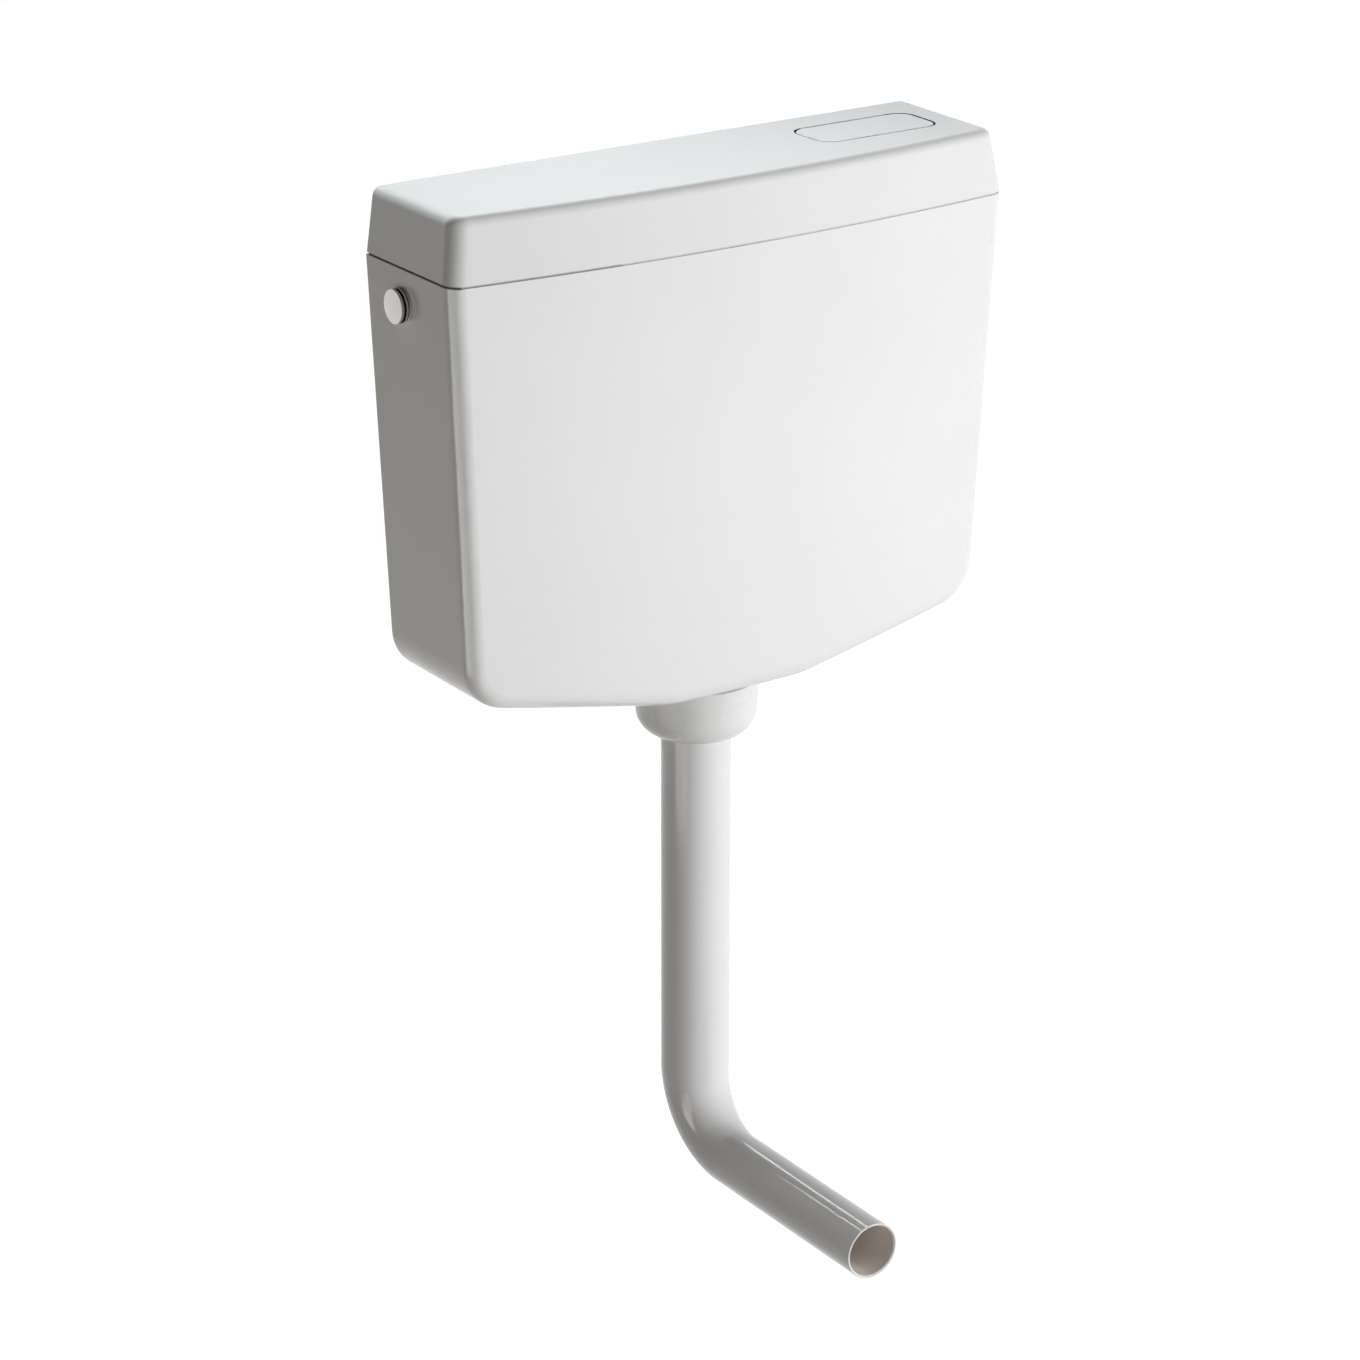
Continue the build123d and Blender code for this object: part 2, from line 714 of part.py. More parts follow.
# Rocker lever: fork round the lift rod at the left, paddle under the button at the right
fork_half = lever_fork_slot / 2 + lever_tine
paddle_y = (valve_y + button_y) / 2
with BuildPart() as rocker_lever:
    with BuildSketch(lever_plane):
        with BuildLine():
            Polyline(
                (lever_fork_root, pivot_z - lever_tip_height / 2),
                (lever_fork_root, pivot_z + lever_tip_height / 2),
                (pivot_x, pivot_z + lever_root_height / 2),
                (button_x, pivot_z + paddle_top),
                (button_x, pivot_z + paddle_top - paddle_thickness),
                (pivot_x, pivot_z - lever_root_height / 2),
                close=True,
            )
        make_face()
        with Locations((pivot_x, pivot_z)):
            Circle(lever_boss_radius)
    extrude(amount=lever_width / 2, both=True)
    with BuildSketch(lever_plane):
        with BuildLine():
            Polyline(
                (-lever_fork_reach, pivot_z - lever_tip_height / 2),
                (-lever_fork_reach, pivot_z + lever_tip_height / 2),
                (lever_fork_root, pivot_z + lever_tip_height / 2),
                (lever_fork_root, pivot_z - lever_tip_height / 2),
                close=True,
            )
        make_face()
        with BuildLine():
            crown_base = pivot_z + lever_crown_height - lever_crown_radius
            crown_drop = pivot_z - crown_base
            crown_half = math.sqrt(lever_crown_radius**2 - crown_drop**2)
            ThreePointArc(
                (-crown_half, pivot_z), (0, pivot_z + lever_crown_height), (crown_half, pivot_z)
            )
            Line((crown_half, pivot_z), (-crown_half, pivot_z))
        make_face()
    extrude(amount=fork_half, both=True)
    with BuildSketch(Plane.XY.offset(pivot_z)):
        with Locations((button_x, paddle_y)):
            RectangleRounded(paddle_length, paddle_width, paddle_corner)
    extrude(amount=paddle_top)
    with BuildSketch(Plane.XY.offset(pivot_z)):
        with Locations((button_x, paddle_y)):
            RectangleRounded(paddle_length, paddle_width, paddle_corner)
    extrude(amount=paddle_top - paddle_thickness)
    # Open slot of the fork
    with BuildSketch(Plane.XY.offset(pivot_z)):
        with Locations((-lever_fork_reach, valve_y)):
            SlotCenterToCenter(2 * lever_fork_reach + rod_radius, lever_fork_slot)
    extrude(amount=lever_root_height, both=True, mode=Mode.SUBTRACT)
    with BuildSketch(lever_plane):
        with Locations((pivot_x, pivot_z)):
            Circle(pivot_pin_radius + running_gap)
    extrude(amount=lever_width, both=True, mode=Mode.SUBTRACT)

# Heights of the flush valve, from the floor of the tank up
flange_bottom = floor_top + outlet_washer_thickness
flange_top = flange_bottom + base_flange_thickness
seat_top = flange_top + seat_height
seat_outer_radius = seat_bore_radius + seat_wall
tail_end = floor_bottom - tail_below_floor
pipe_stop = tail_end + tail_socket_depth
tail_bore_radius = pipe_radius + fit_gap
seal_bottom = seat_top + seal_gap
disc_bottom = seal_bottom + seal_thickness
disc_top = disc_bottom + disc_thickness
tube_top = rim - overflow_drop
float_ring_bottom = disc_top + fit_gap
cage_top_ring = float_ring_bottom + float_ring_height + valve_travel + cage_headroom
cage_top = cage_top_ring + cage_ring_height

# Valve base: seat, flange and threaded tail through the floor
with BuildPart() as valve_base:
    with BuildSketch(valve_section):
        with BuildLine():
            Polyline(
                (seat_bore_radius, seat_top),
                (seat_bore_radius + seat_lip_width, seat_top),
                (seat_outer_radius, seat_top - seat_lip_height),
                (seat_outer_radius, flange_top),
                (base_flange_radius, flange_top),
                (base_flange_radius, flange_bottom),
                (tail_radius, flange_bottom),
                (tail_radius, tail_end),
                (tail_bore_radius, tail_end),
                (tail_bore_radius, pipe_stop),
                (seat_bore_radius, pipe_stop),
                close=True,
            )
        make_face()
    revolve(axis=valve_axis)

with BuildPart() as outlet_washer:
    with BuildSketch(Plane.XY.offset(floor_top)):
        with Locations((0, valve_y)):
            Circle(base_flange_radius)
            Circle(outlet_hole_radius, mode=Mode.SUBTRACT)
    extrude(amount=outlet_washer_thickness)

with BuildPart() as outlet_backnut:
    with BuildSketch(Plane.XY.offset(floor_bottom)):
        with Locations((0, valve_y)):
            Circle(outlet_nut_radius)
            Circle(tail_radius + fit_gap, mode=Mode.SUBTRACT)
            with PolarLocations(outlet_nut_radius, outlet_nut_notches):
                Circle(outlet_nut_notch_radius, mode=Mode.SUBTRACT)
    extrude(amount=-outlet_nut_height)

# Guide cage over the seat
with BuildPart() as valve_cage:
    with BuildSketch(Plane.XY.offset(flange_top)):
        with Locations((0, valve_y)):
            Circle(cage_ring_outer)
            Circle(cage_ring_inner, mode=Mode.SUBTRACT)
    extrude(amount=cage_ring_height)
    column_radius = (cage_ring_inner + cage_ring_outer) / 2
    with BuildSketch(Plane.XY.offset(flange_top)):
        with Locations((0, valve_y)):
            with PolarLocations(column_radius, cage_columns):
                Rectangle(cage_ring_outer - cage_ring_inner - fit_gap, cage_column_width)
    extrude(amount=cage_top - flange_top)
    with BuildSketch(Plane.XY.offset(cage_top_ring)):
        with Locations((0, valve_y)):
            Circle(cage_ring_outer)
            Circle(cage_ring_inner, mode=Mode.SUBTRACT)
            with PolarLocations(0, cage_columns // 2):
                Rectangle(2 * cage_ring_inner + fit_gap, cage_spoke_width)
            Circle(tube_radius + slip_gap + cage_hub_wall)
            Circle(tube_radius + slip_gap, mode=Mode.SUBTRACT)
    extrude(amount=cage_ring_height)

# Overflow tube that lifts the seal
with BuildPart() as lift_tube:
    with BuildSketch(valve_section):
        with BuildLine():
            Polyline(
                (tube_radius - tube_wall, seat_top - tube_spigot),
                (tube_radius, seat_top - tube_spigot),
                (tube_radius, disc_bottom),
                (disc_radius, disc_bottom),
                (disc_radius, disc_top),
                (tube_radius, disc_top),
                (tube_radius, tube_top - tube_collar_drop - tube_collar_height),
                (tube_collar_radius, tube_top - tube_collar_drop - tube_collar_height),
                (tube_collar_radius, tube_top - tube_collar_drop),
                (tube_radius, tube_top - tube_collar_drop),
                (tube_radius, tube_top),
                (tube_radius - tube_wall, tube_top),
                close=True,
            )
        make_face()
    revolve(axis=valve_axis)

with BuildPart() as valve_seal:
    with BuildSketch(Plane.XY.offset(seal_bottom)):
        with Locations((0, valve_y)):
            Circle(seal_radius)
            Circle(tube_radius + pipe_seal_gap, mode=Mode.SUBTRACT)
    extrude(amount=seal_thickness)

with BuildPart() as seal_clip:
    with BuildSketch(Plane.XY.offset(seal_bottom)):
        with Locations((0, valve_y)):
            Circle(tube_radius + seal_clip_wall)
            Circle(tube_radius + pipe_seal_gap, mode=Mode.SUBTRACT)
    extrude(amount=-seal_clip_thickness)

with BuildPart() as valve_float:
    with BuildSketch(Plane.XY.offset(float_ring_bottom)):
        with Locations((0, valve_y)):
            Circle(float_ring_radius)
            Circle(tube_radius + fit_gap, mode=Mode.SUBTRACT)
    extrude(amount=float_ring_height)
    outer_wall = valve_float.faces().filter_by(GeomType.CYLINDER).sort_by(SortBy.AREA)[-1]
    fillet(outer_wall.edges().filter_by(GeomType.CIRCLE), float_ring_edge)

# Yoke that hooks under the tube's collar, and the rod that the lever lifts
collar_underside = tube_top - tube_collar_drop - tube_collar_height
yoke_inner = tube_collar_radius + yoke_side_gap
yoke_outer = yoke_inner + yoke_leg_thickness
yoke_bridge = tube_top + yoke_bridge_rise
yoke_top = yoke_bridge + yoke_bridge_thickness
with BuildPart() as lift_yoke:
    with BuildSketch(Plane.YZ):
        with BuildLine():
            Polyline(
                (valve_y - yoke_outer, collar_underside - fit_gap - yoke_hook_height),
                (valve_y - yoke_outer, yoke_top),
                (valve_y + yoke_outer, yoke_top),
                (valve_y + yoke_outer, collar_underside - fit_gap - yoke_hook_height),
                (valve_y + yoke_inner, collar_underside - fit_gap - yoke_hook_height),
                (valve_y + yoke_inner - yoke_hook, collar_underside - fit_gap),
                (valve_y + yoke_inner, collar_underside - fit_gap),
                (valve_y + yoke_inner, yoke_bridge),
                (valve_y - yoke_inner, yoke_bridge),
                (valve_y - yoke_inner, collar_underside - fit_gap),
                (valve_y - yoke_inner + yoke_hook, collar_underside - fit_gap),
                (valve_y - yoke_inner, collar_underside - fit_gap - yoke_hook_height),
                close=True,
            )
        make_face()
    extrude(amount=yoke_width / 2, both=True)
    with BuildSketch(Plane.XY.offset(yoke_bridge)):
        with Locations((0, valve_y)):
            Circle(rod_radius + running_gap)
    extrude(amount=yoke_bridge_thickness, mode=Mode.SUBTRACT)

rod_top = rim + rod_top_rise
rod_bottom = yoke_bridge - fit_gap
with BuildPart() as lift_rod:
    with BuildSketch(Plane.XY.offset(rod_bottom - rod_head_height)):
        with Locations((0, valve_y)):
            Circle(rod_head_radius)
    extrude(amount=rod_head_height)
    with BuildSketch(Plane.XY.offset(rod_bottom)):
        with Locations((0, valve_y)):
            Circle(rod_radius)
    extrude(amount=rod_top - rod_bottom)
    with BuildSketch(Plane.XY.offset(yoke_top + fit_gap)):
        with Locations((0, valve_y)):
            Circle(rod_head_radius)
    extrude(amount=rod_head_height)

lift_collar_bottom = pivot_z + lever_crown_height + fit_gap
with BuildPart() as lift_collar:
    with BuildSketch(Plane.XY.offset(lift_collar_bottom)):
        with Locations((0, valve_y)):
            Circle(lift_collar_radius)
    extrude(amount=lift_collar_thickness)
    with BuildSketch(Plane.XY.offset(lift_collar_bottom + lift_collar_thickness)):
        with Locations((0, valve_y)):
            RegularPolygon(lift_collar_hub_radius, 6)
    extrude(amount=lift_collar_hub_height)
    with BuildSketch(Plane.XY.offset(lift_collar_bottom)):
        with Locations((0, valve_y)):
            Circle(rod_radius + running_gap)
    extrude(amount=lift_collar_thickness + lift_collar_hub_height, mode=Mode.SUBTRACT)

# Blanking cap on the left inlet
cap_washer_face = inlet_face + cap_washer_thickness
cap_ring_face = cap_washer_face + cap_ring_thickness
cap_neck_face = cap_ring_face + cap_neck_length
cap_rim_face = cap_neck_face + cap_disc_thickness
with BuildPart() as inlet_cap:
    with BuildSketch(inlet_section(-1)):
        with BuildLine():
            Polyline(
                (0, cap_rim_face + cap_dome),
                (0, inlet_inner_face - cap_stud_reach),
                (inlet_thread_radius, inlet_inner_face - cap_stud_reach),
                (inlet_thread_radius, cap_washer_face),
                (cap_ring_radius, cap_washer_face),
                (cap_ring_radius, cap_ring_face),
                (cap_neck_radius, cap_ring_face),
                (cap_neck_radius, cap_neck_face),
                (cap_disc_radius, cap_neck_face),
                (cap_disc_radius, cap_rim_face),
            )
            dome_radius = (cap_disc_radius**2 + cap_dome**2) / (2 * cap_dome)
            RadiusArc((cap_disc_radius, cap_rim_face), (0, cap_rim_face + cap_dome), -dome_radius)
        make_face()
    revolve(axis=inlet_axis)

with BuildPart() as cap_washer:
    with BuildSketch(inlet_plane(-1, inlet_face)):
        Circle(cap_washer_radius)
        Circle(inlet_thread_radius + pipe_seal_gap, mode=Mode.SUBTRACT)
    extrude(amount=cap_washer_thickness)

nut_circumradius = inlet_nut_across_flats / math.sqrt(3)
with BuildPart() as cap_backnut:
    with BuildSketch(inlet_plane(-1, inlet_inner_face)):
        RegularPolygon(nut_circumradius, 6)
        Circle(inlet_thread_radius + running_gap, mode=Mode.SUBTRACT)
    extrude(amount=-inlet_nut_height)

# Threaded nipple of the fill valve through the right inlet
nipple_flange_face = inlet_inner_face - inlet_washer_thickness
nipple_inner_end = nipple_flange_face - nipple_flange_thickness - nipple_socket
nipple_groove = inlet_face + inlet_nut_height + fit_gap
nipple_free = nipple_groove + nipple_groove_width
nipple_end = nipple_free + nipple_free_length
with BuildPart() as inlet_nipple:
    with BuildSketch(inlet_section(1)):
        with BuildLine():
            Polyline(
                (nipple_bore_radius, nipple_inner_end),
                (inlet_thread_radius, nipple_inner_end),
                (inlet_thread_radius, nipple_flange_face - nipple_flange_thickness),
                (nipple_flange_radius, nipple_flange_face - nipple_flange_thickness),
                (nipple_flange_radius, nipple_flange_face),
                (inlet_thread_radius, nipple_flange_face),
                (inlet_thread_radius, nipple_groove),
                (inlet_thread_radius - nipple_groove_depth, nipple_groove),
                (inlet_thread_radius - nipple_groove_depth, nipple_free),
                (inlet_thread_radius, nipple_free),
                (inlet_thread_radius, nipple_end),
                (nipple_bore_radius, nipple_end),
                close=True,
            )
        make_face()
    revolve(axis=inlet_axis)

with BuildPart() as inlet_washer:
    with BuildSketch(inlet_plane(1, nipple_flange_face)):
        Circle(nipple_flange_radius)
        Circle(inlet_thread_radius + pipe_seal_gap, mode=Mode.SUBTRACT)
    extrude(amount=inlet_washer_thickness)

with BuildPart() as inlet_backnut:
    with BuildSketch(inlet_plane(1, inlet_face)):
        RegularPolygon(nut_circumradius, 6)
    extrude(amount=inlet_nut_height)
    chamfer(inlet_backnut.faces().sort_by(Axis.X)[-1].edges(), inlet_nut_chamfer)
    with BuildSketch(inlet_plane(1, inlet_face)):
        Circle(inlet_thread_radius + running_gap)
    extrude(amount=inlet_nut_height, mode=Mode.SUBTRACT)

# Fill valve body: sleeve on the nipple, neck, chamber and outlet spigot
sleeve_face = nipple_flange_face - nipple_flange_thickness - fit_gap
sleeve_back = sleeve_face - fill_sleeve_length
chamber_face = sleeve_back - fill_neck_length
chamber_back = chamber_face - fill_chamber_length
fill_cap_back = chamber_back - fill_cap_length
arm_pivot_x = fill_cap_back - arm_pivot_reach
arm_pivot_z = inlet_z - arm_pivot_drop
half_swing = math.radians(arm_swing / 2)
piston_back = arm_pivot_x - arm_nose_reach * math.sin(half_swing) + arm_nose_radius + fit_gap
piston_shoulder = chamber_back + fit_gap
piston_bore_end = piston_shoulder + piston_length + piston_travel + fit_gap
fill_tube_x = piston_bore_end - fill_spigot_bore_radius
spigot_bottom = inlet_z - fill_chamber_radius - fill_spigot_length
with BuildPart() as fill_valve_body:
    with BuildSketch(inlet_section(1)):
        with BuildLine():
            Polyline(
                (orifice_radius, piston_bore_end),
                (orifice_radius, nipple_inner_end - fit_gap),
                (inlet_thread_radius + fit_gap, nipple_inner_end - fit_gap),
                (inlet_thread_radius + fit_gap, sleeve_face),
                (fill_sleeve_radius, sleeve_face),
                (fill_sleeve_radius, sleeve_back),
                (fill_neck_radius, sleeve_back),
                (fill_neck_radius, chamber_face),
                (fill_chamber_radius, chamber_face),
                (fill_chamber_radius, chamber_back),
                (piston_radius + running_gap, chamber_back),
                (piston_radius + running_gap, piston_bore_end),
                close=True,
            )
        make_face()
    revolve(axis=inlet_axis)
    with BuildSketch(Plane.XY.offset(spigot_bottom)):
        with Locations((fill_tube_x, inlet_y)):
            Circle(fill_spigot_radius)
    extrude(amount=inlet_z - piston_radius - overrun - spigot_bottom)
    with BuildSketch(Plane.XY.offset(spigot_bottom)):
        with Locations((fill_tube_x, inlet_y)):
            Circle(fill_spigot_bore_radius)
    extrude(amount=inlet_z - spigot_bottom, mode=Mode.SUBTRACT)

with BuildPart() as fill_tube:
    with BuildSketch(Plane.XY.offset(inlet_z - fill_chamber_radius - fit_gap)):
        with Locations((fill_tube_x, inlet_y)):
            Circle(fill_tube_radius)
            Circle(fill_tube_radius - fill_tube_wall, mode=Mode.SUBTRACT)
    extrude(amount=-fill_tube_length)

# Screwed cap of the fill valve, with the ears that carry the float arm
arm_ear_inner = arm_width / 2 + arm_ear_gap
arm_ear_outer = arm_ear_inner + arm_ear_thickness
arm_side_plane = Plane.XZ.offset(inlet_depth)
with BuildPart() as fill_valve_cap:
    with BuildSketch(inlet_plane(1, chamber_back)):
        Circle(fill_cap_radius)
        with PolarLocations(fill_cap_radius, fill_cap_ribs):
            Circle(fill_cap_rib_radius)
    extrude(amount=-fill_cap_length)
    with BuildSketch(arm_side_plane):
        with Locations((arm_pivot_x, arm_pivot_z)):
            Circle(arm_boss_radius)
        with Locations((fill_cap_back, arm_pivot_z)):
            Circle(arm_boss_radius)
        make_hull()
    extrude(amount=arm_ear_outer, both=True)
    with BuildSketch(Plane.XY.offset(arm_pivot_z - arm_ear_height / 2)):
        with Locations((fill_cap_back - 2 * arm_pivot_reach, inlet_y)):
            Rectangle(4 * arm_pivot_reach, 2 * arm_ear_inner)
    extrude(amount=arm_ear_height, mode=Mode.SUBTRACT)
    with BuildSketch(arm_side_plane):
        with Locations((arm_pivot_x, arm_pivot_z)):
            Circle(arm_pin_radius + running_gap)
    extrude(amount=2 * arm_ear_outer, both=True, mode=Mode.SUBTRACT)
    with BuildSketch(inlet_plane(1, chamber_back)):
        Circle(piston_stem_radius + running_gap)
    extrude(amount=-fill_cap_length - arm_boss_radius, mode=Mode.SUBTRACT)

with BuildPart() as fill_piston:
    with BuildSketch(inlet_plane(1, piston_back)):
        Circle(piston_stem_radius)
    extrude(amount=piston_shoulder - piston_back)
    with BuildSketch(inlet_plane(1, piston_shoulder)):
        Circle(piston_radius)
    extrude(amount=piston_length)

with BuildPart() as arm_pin:
    with BuildSketch(arm_side_plane.offset(-arm_ear_outer - fit_gap)):
        with Locations((arm_pivot_x, arm_pivot_z)):
            Circle(pin_head_radius)
    extrude(amount=-pin_head_height)
    with BuildSketch(arm_side_plane.offset(-arm_ear_outer - fit_gap)):
        with Locations((arm_pivot_x, arm_pivot_z)):
            Circle(arm_pin_radius)
    extrude(amount=2 * (arm_ear_outer + fit_gap) + pin_clip_thickness + pin_end)

with BuildPart() as arm_clip:
    with BuildSketch(arm_side_plane.offset(arm_ear_outer + fit_gap)):
        with Locations((arm_pivot_x, arm_pivot_z)):
            Circle(pin_clip_radius)
            Circle(arm_pin_radius + running_gap, mode=Mode.SUBTRACT)
    extrude(amount=pin_clip_thickness)

# Float arm, hanging at its lower stop as in an empty tank
droop = math.radians(arm_swing)
arm_plane = Plane(
    origin=(arm_pivot_x, inlet_y, arm_pivot_z),
    x_dir=(-math.cos(droop), 0, -math.sin(droop)),
    z_dir=(0, 1, 0),
)
nose_place = (-arm_nose_reach * math.sin(half_swing), arm_nose_reach * math.cos(half_swing))
with BuildPart() as float_arm:
    with BuildSketch(arm_plane):
        Circle(arm_boss_radius)
        with Locations(nose_place):
            Circle(arm_nose_radius)
        with Locations(Rotation(0, 0, arm_swing / 2)):
            with Locations((0, arm_nose_reach / 2)):
                Rectangle(arm_tongue_width, arm_nose_reach)
    extrude(amount=arm_width / 2, both=True)
    with BuildSketch(arm_plane):
        with BuildLine():
            Polyline(
                (0, -arm_root_height / 2),
                (0, arm_root_height / 2),
                (float_start, arm_tip_height / 2),
                (arm_length, arm_tip_height / 2),
                (arm_length, -arm_tip_height / 2),
                (float_start, -arm_tip_height / 2),
                close=True,
            )
        make_face()
    extrude(amount=arm_width / 2, both=True)
    with BuildSketch(arm_plane):
        Circle(arm_pin_radius + running_gap)
    extrude(amount=arm_width, both=True, mode=Mode.SUBTRACT)

float_top = -arm_tip_height / 2 - fit_gap
float_middle = float_start + float_length / 2
saddle_half = arm_width / 2 + fit_gap
with BuildPart() as water_float:
    with BuildSketch(arm_plane):
        with Locations((float_middle, float_top - saddle_drop - float_height / 2)):
            RectangleRounded(float_length, float_height, float_corner)
    extrude(amount=float_width / 2, both=True)
    ends = water_float.faces().filter_by(Axis.Y)
    fillet(ends.edges(), float_edge)
    # Saddle that grips the arm
    saddle_place = (float_middle, float_top - saddle_drop)
    with BuildSketch(arm_plane):
        with Locations(saddle_place):
            Rectangle(saddle_length, 2 * saddle_drop)
    extrude(amount=saddle_half + saddle_cheek, both=True)
    with BuildSketch(arm_plane):
        with Locations(saddle_place):
            Rectangle(saddle_length, 2 * (saddle_drop + saddle_grip))
    extrude(amount=saddle_half + saddle_cheek, both=True)
    with BuildSketch(arm_plane):
        with Locations((float_middle, float_top + saddle_grip)):
            Rectangle(2 * saddle_length, 2 * saddle_grip)
    extrude(amount=saddle_half, both=True, mode=Mode.SUBTRACT)

# Cup nut under the tank
cup_top = floor_bottom - cup_gap
cup_bottom = floor_bottom - cup_depth
cup_bowl_z = cup_bottom + cup_bowl_radius
cup_bowl_centre = cup_waist_radius - cup_bowl_radius
cup_hole_radius = pipe_radius + fit_gap
cup_sleeve_inner = tail_radius + fit_gap
cup_sleeve_outer = cup_sleeve_inner + cup_sleeve_wall
cup_shoulder_z = cup_bottom + cup_shoulder


# Height of the bowl's outside, or of its inside with a smaller bowl radius, at a given radius.
def bowl_height(bowl_radius, radius):
    return cup_bowl_z - math.sqrt(bowl_radius**2 - (radius - cup_bowl_centre) ** 2)


with BuildPart() as pipe_nut:
    with BuildSketch(valve_section):
        with BuildLine():
            outer_end = (cup_hole_radius, bowl_height(cup_bowl_radius, cup_hole_radius))
            inner_bowl = cup_bowl_radius - cup_wall
            inner_end = (cup_sleeve_outer, bowl_height(inner_bowl, cup_sleeve_outer))
            Line((cup_top_radius, cup_top), (cup_waist_radius, cup_bowl_z))
            RadiusArc((cup_waist_radius, cup_bowl_z), outer_end, cup_bowl_radius)
            Polyline(
                outer_end,
                (cup_hole_radius, cup_shoulder_z),
                (cup_sleeve_inner, cup_shoulder_z),
                (cup_sleeve_inner, floor_bottom - cup_sleeve_top),
                (cup_sleeve_outer, floor_bottom - cup_sleeve_top),
                inner_end,
            )
            RadiusArc(inner_end, (cup_waist_radius - cup_wall, cup_bowl_z), -inner_bowl)
            Polyline(
                (cup_waist_radius - cup_wall, cup_bowl_z),
                (cup_top_radius - cup_wall, cup_top),
                (cup_top_radius, cup_top),
            )
        make_face()
    revolve(axis=valve_axis)

pipe_seal_inner = pipe_radius + pipe_seal_gap
pipe_seal_outer = cup_sleeve_inner - fit_gap
with BuildPart() as pipe_seal:
    with BuildSketch(valve_section):
        with BuildLine():
            Polyline(
                (pipe_seal_inner, cup_shoulder_z + fit_gap),
                (pipe_seal_outer, cup_shoulder_z + fit_gap),
                (pipe_seal_outer, (cup_shoulder_z + tail_end) / 2),
                ((pipe_seal_inner + pipe_seal_outer) / 2, tail_end - fit_gap),
                (pipe_seal_inner, tail_end - fit_gap),
                close=True,
            )
        make_face()
    revolve(axis=valve_axis)

# Flush pipe: straight drop, tapering bend and outlet leg towards the room
pipe_top = pipe_stop - fit_gap
leg_z = rim - pipe_drop
bend_top = leg_z + pipe_bend_radius
bend_front = valve_y - pipe_bend_radius
bend_turn = math.sin(math.radians(45))
bend_middle = (
    0,
    bend_front + pipe_bend_radius * bend_turn,
    bend_top - pipe_bend_radius * bend_turn,
)


# One skin of the pipe, filled: the straight drop, the bend that tapers, and the leg.
def pipe_skin(drop_radius, leg_radius):
    with BuildPart() as skin:
        with BuildSketch(Plane.XY.offset(pipe_top)):
            with Locations((0, valve_y)):
                Circle(drop_radius)
        extrude(amount=bend_top - pipe_top)
        with BuildLine() as bend:
            ThreePointArc((0, valve_y, bend_top), bend_middle, (0, bend_front, leg_z))
        with BuildSketch(Plane(origin=(0, valve_y, bend_top), z_dir=(0, 0, -1))):
            Circle(drop_radius)
        with BuildSketch(Plane(origin=(0, bend_front, leg_z), z_dir=(0, -1, 0))):
            Circle(leg_radius)
        sweep(path=bend.line, multisection=True)
        with BuildSketch(Plane(origin=(0, bend_front, leg_z), z_dir=(0, -1, 0))):
            Circle(leg_radius)
        extrude(amount=bend_front + pipe_reach)
    return skin.part


with BuildPart() as flush_pipe:
    add(pipe_skin(pipe_radius, pipe_leg_radius))
    add(pipe_skin(pipe_radius - pipe_wall, pipe_leg_radius - pipe_leg_wall), mode=Mode.SUBTRACT)
    open_end = flush_pipe.edges().group_by(Axis.Y)[0].sort_by(Edge.length)
    fillet(open_end[-1], pipe_end_round)
    open_end = flush_pipe.edges().group_by(Axis.Y)[0].sort_by(Edge.length)
    chamfer(open_end[0], pipe_end_chamfer)

pieces = {
    "cistern_body": cistern_body,
    "insulation_liner": insulation_liner,
    "lid": lid,
    "flush_button": flush_button,
    "button_guide": button_guide,
    "guide_screws": guide_screws,
    "button_spring": button_spring,
    "rocker_lever": rocker_lever,
    "lever_bracket": lever_bracket,
    "bracket_screws": bracket_screws,
    "lever_pin": lever_pin,
    "lever_clip": lever_clip,
    "lift_rod": lift_rod,
    "lift_collar": lift_collar,
    "lift_yoke": lift_yoke,
    "lift_tube": lift_tube,
    "valve_float": valve_float,
    "valve_seal": valve_seal,
    "seal_clip": seal_clip,
    "valve_cage": valve_cage,
    "valve_base": valve_base,
    "outlet_washer": outlet_washer,
    "outlet_backnut": outlet_backnut,
    "pipe_nut": pipe_nut,
    "pipe_seal": pipe_seal,
    "flush_pipe": flush_pipe,
    "inlet_cap": inlet_cap,
    "cap_washer": cap_washer,
    "cap_backnut": cap_backnut,
    "inlet_nipple": inlet_nipple,
    "inlet_washer": inlet_washer,
    "inlet_backnut": inlet_backnut,
    "fill_valve_body": fill_valve_body,
    "fill_tube": fill_tube,
    "fill_valve_cap": fill_valve_cap,
    "fill_piston": fill_piston,
    "arm_pin": arm_pin,
    "arm_clip": arm_clip,
    "float_arm": float_arm,
    "water_float": water_float,
}
for label, piece in pieces.items():
    piece.part.label = label
    export_step(piece.part, f"parts/{label}.step")
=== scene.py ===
import math

import bpy
from mathutils import Matrix, Vector


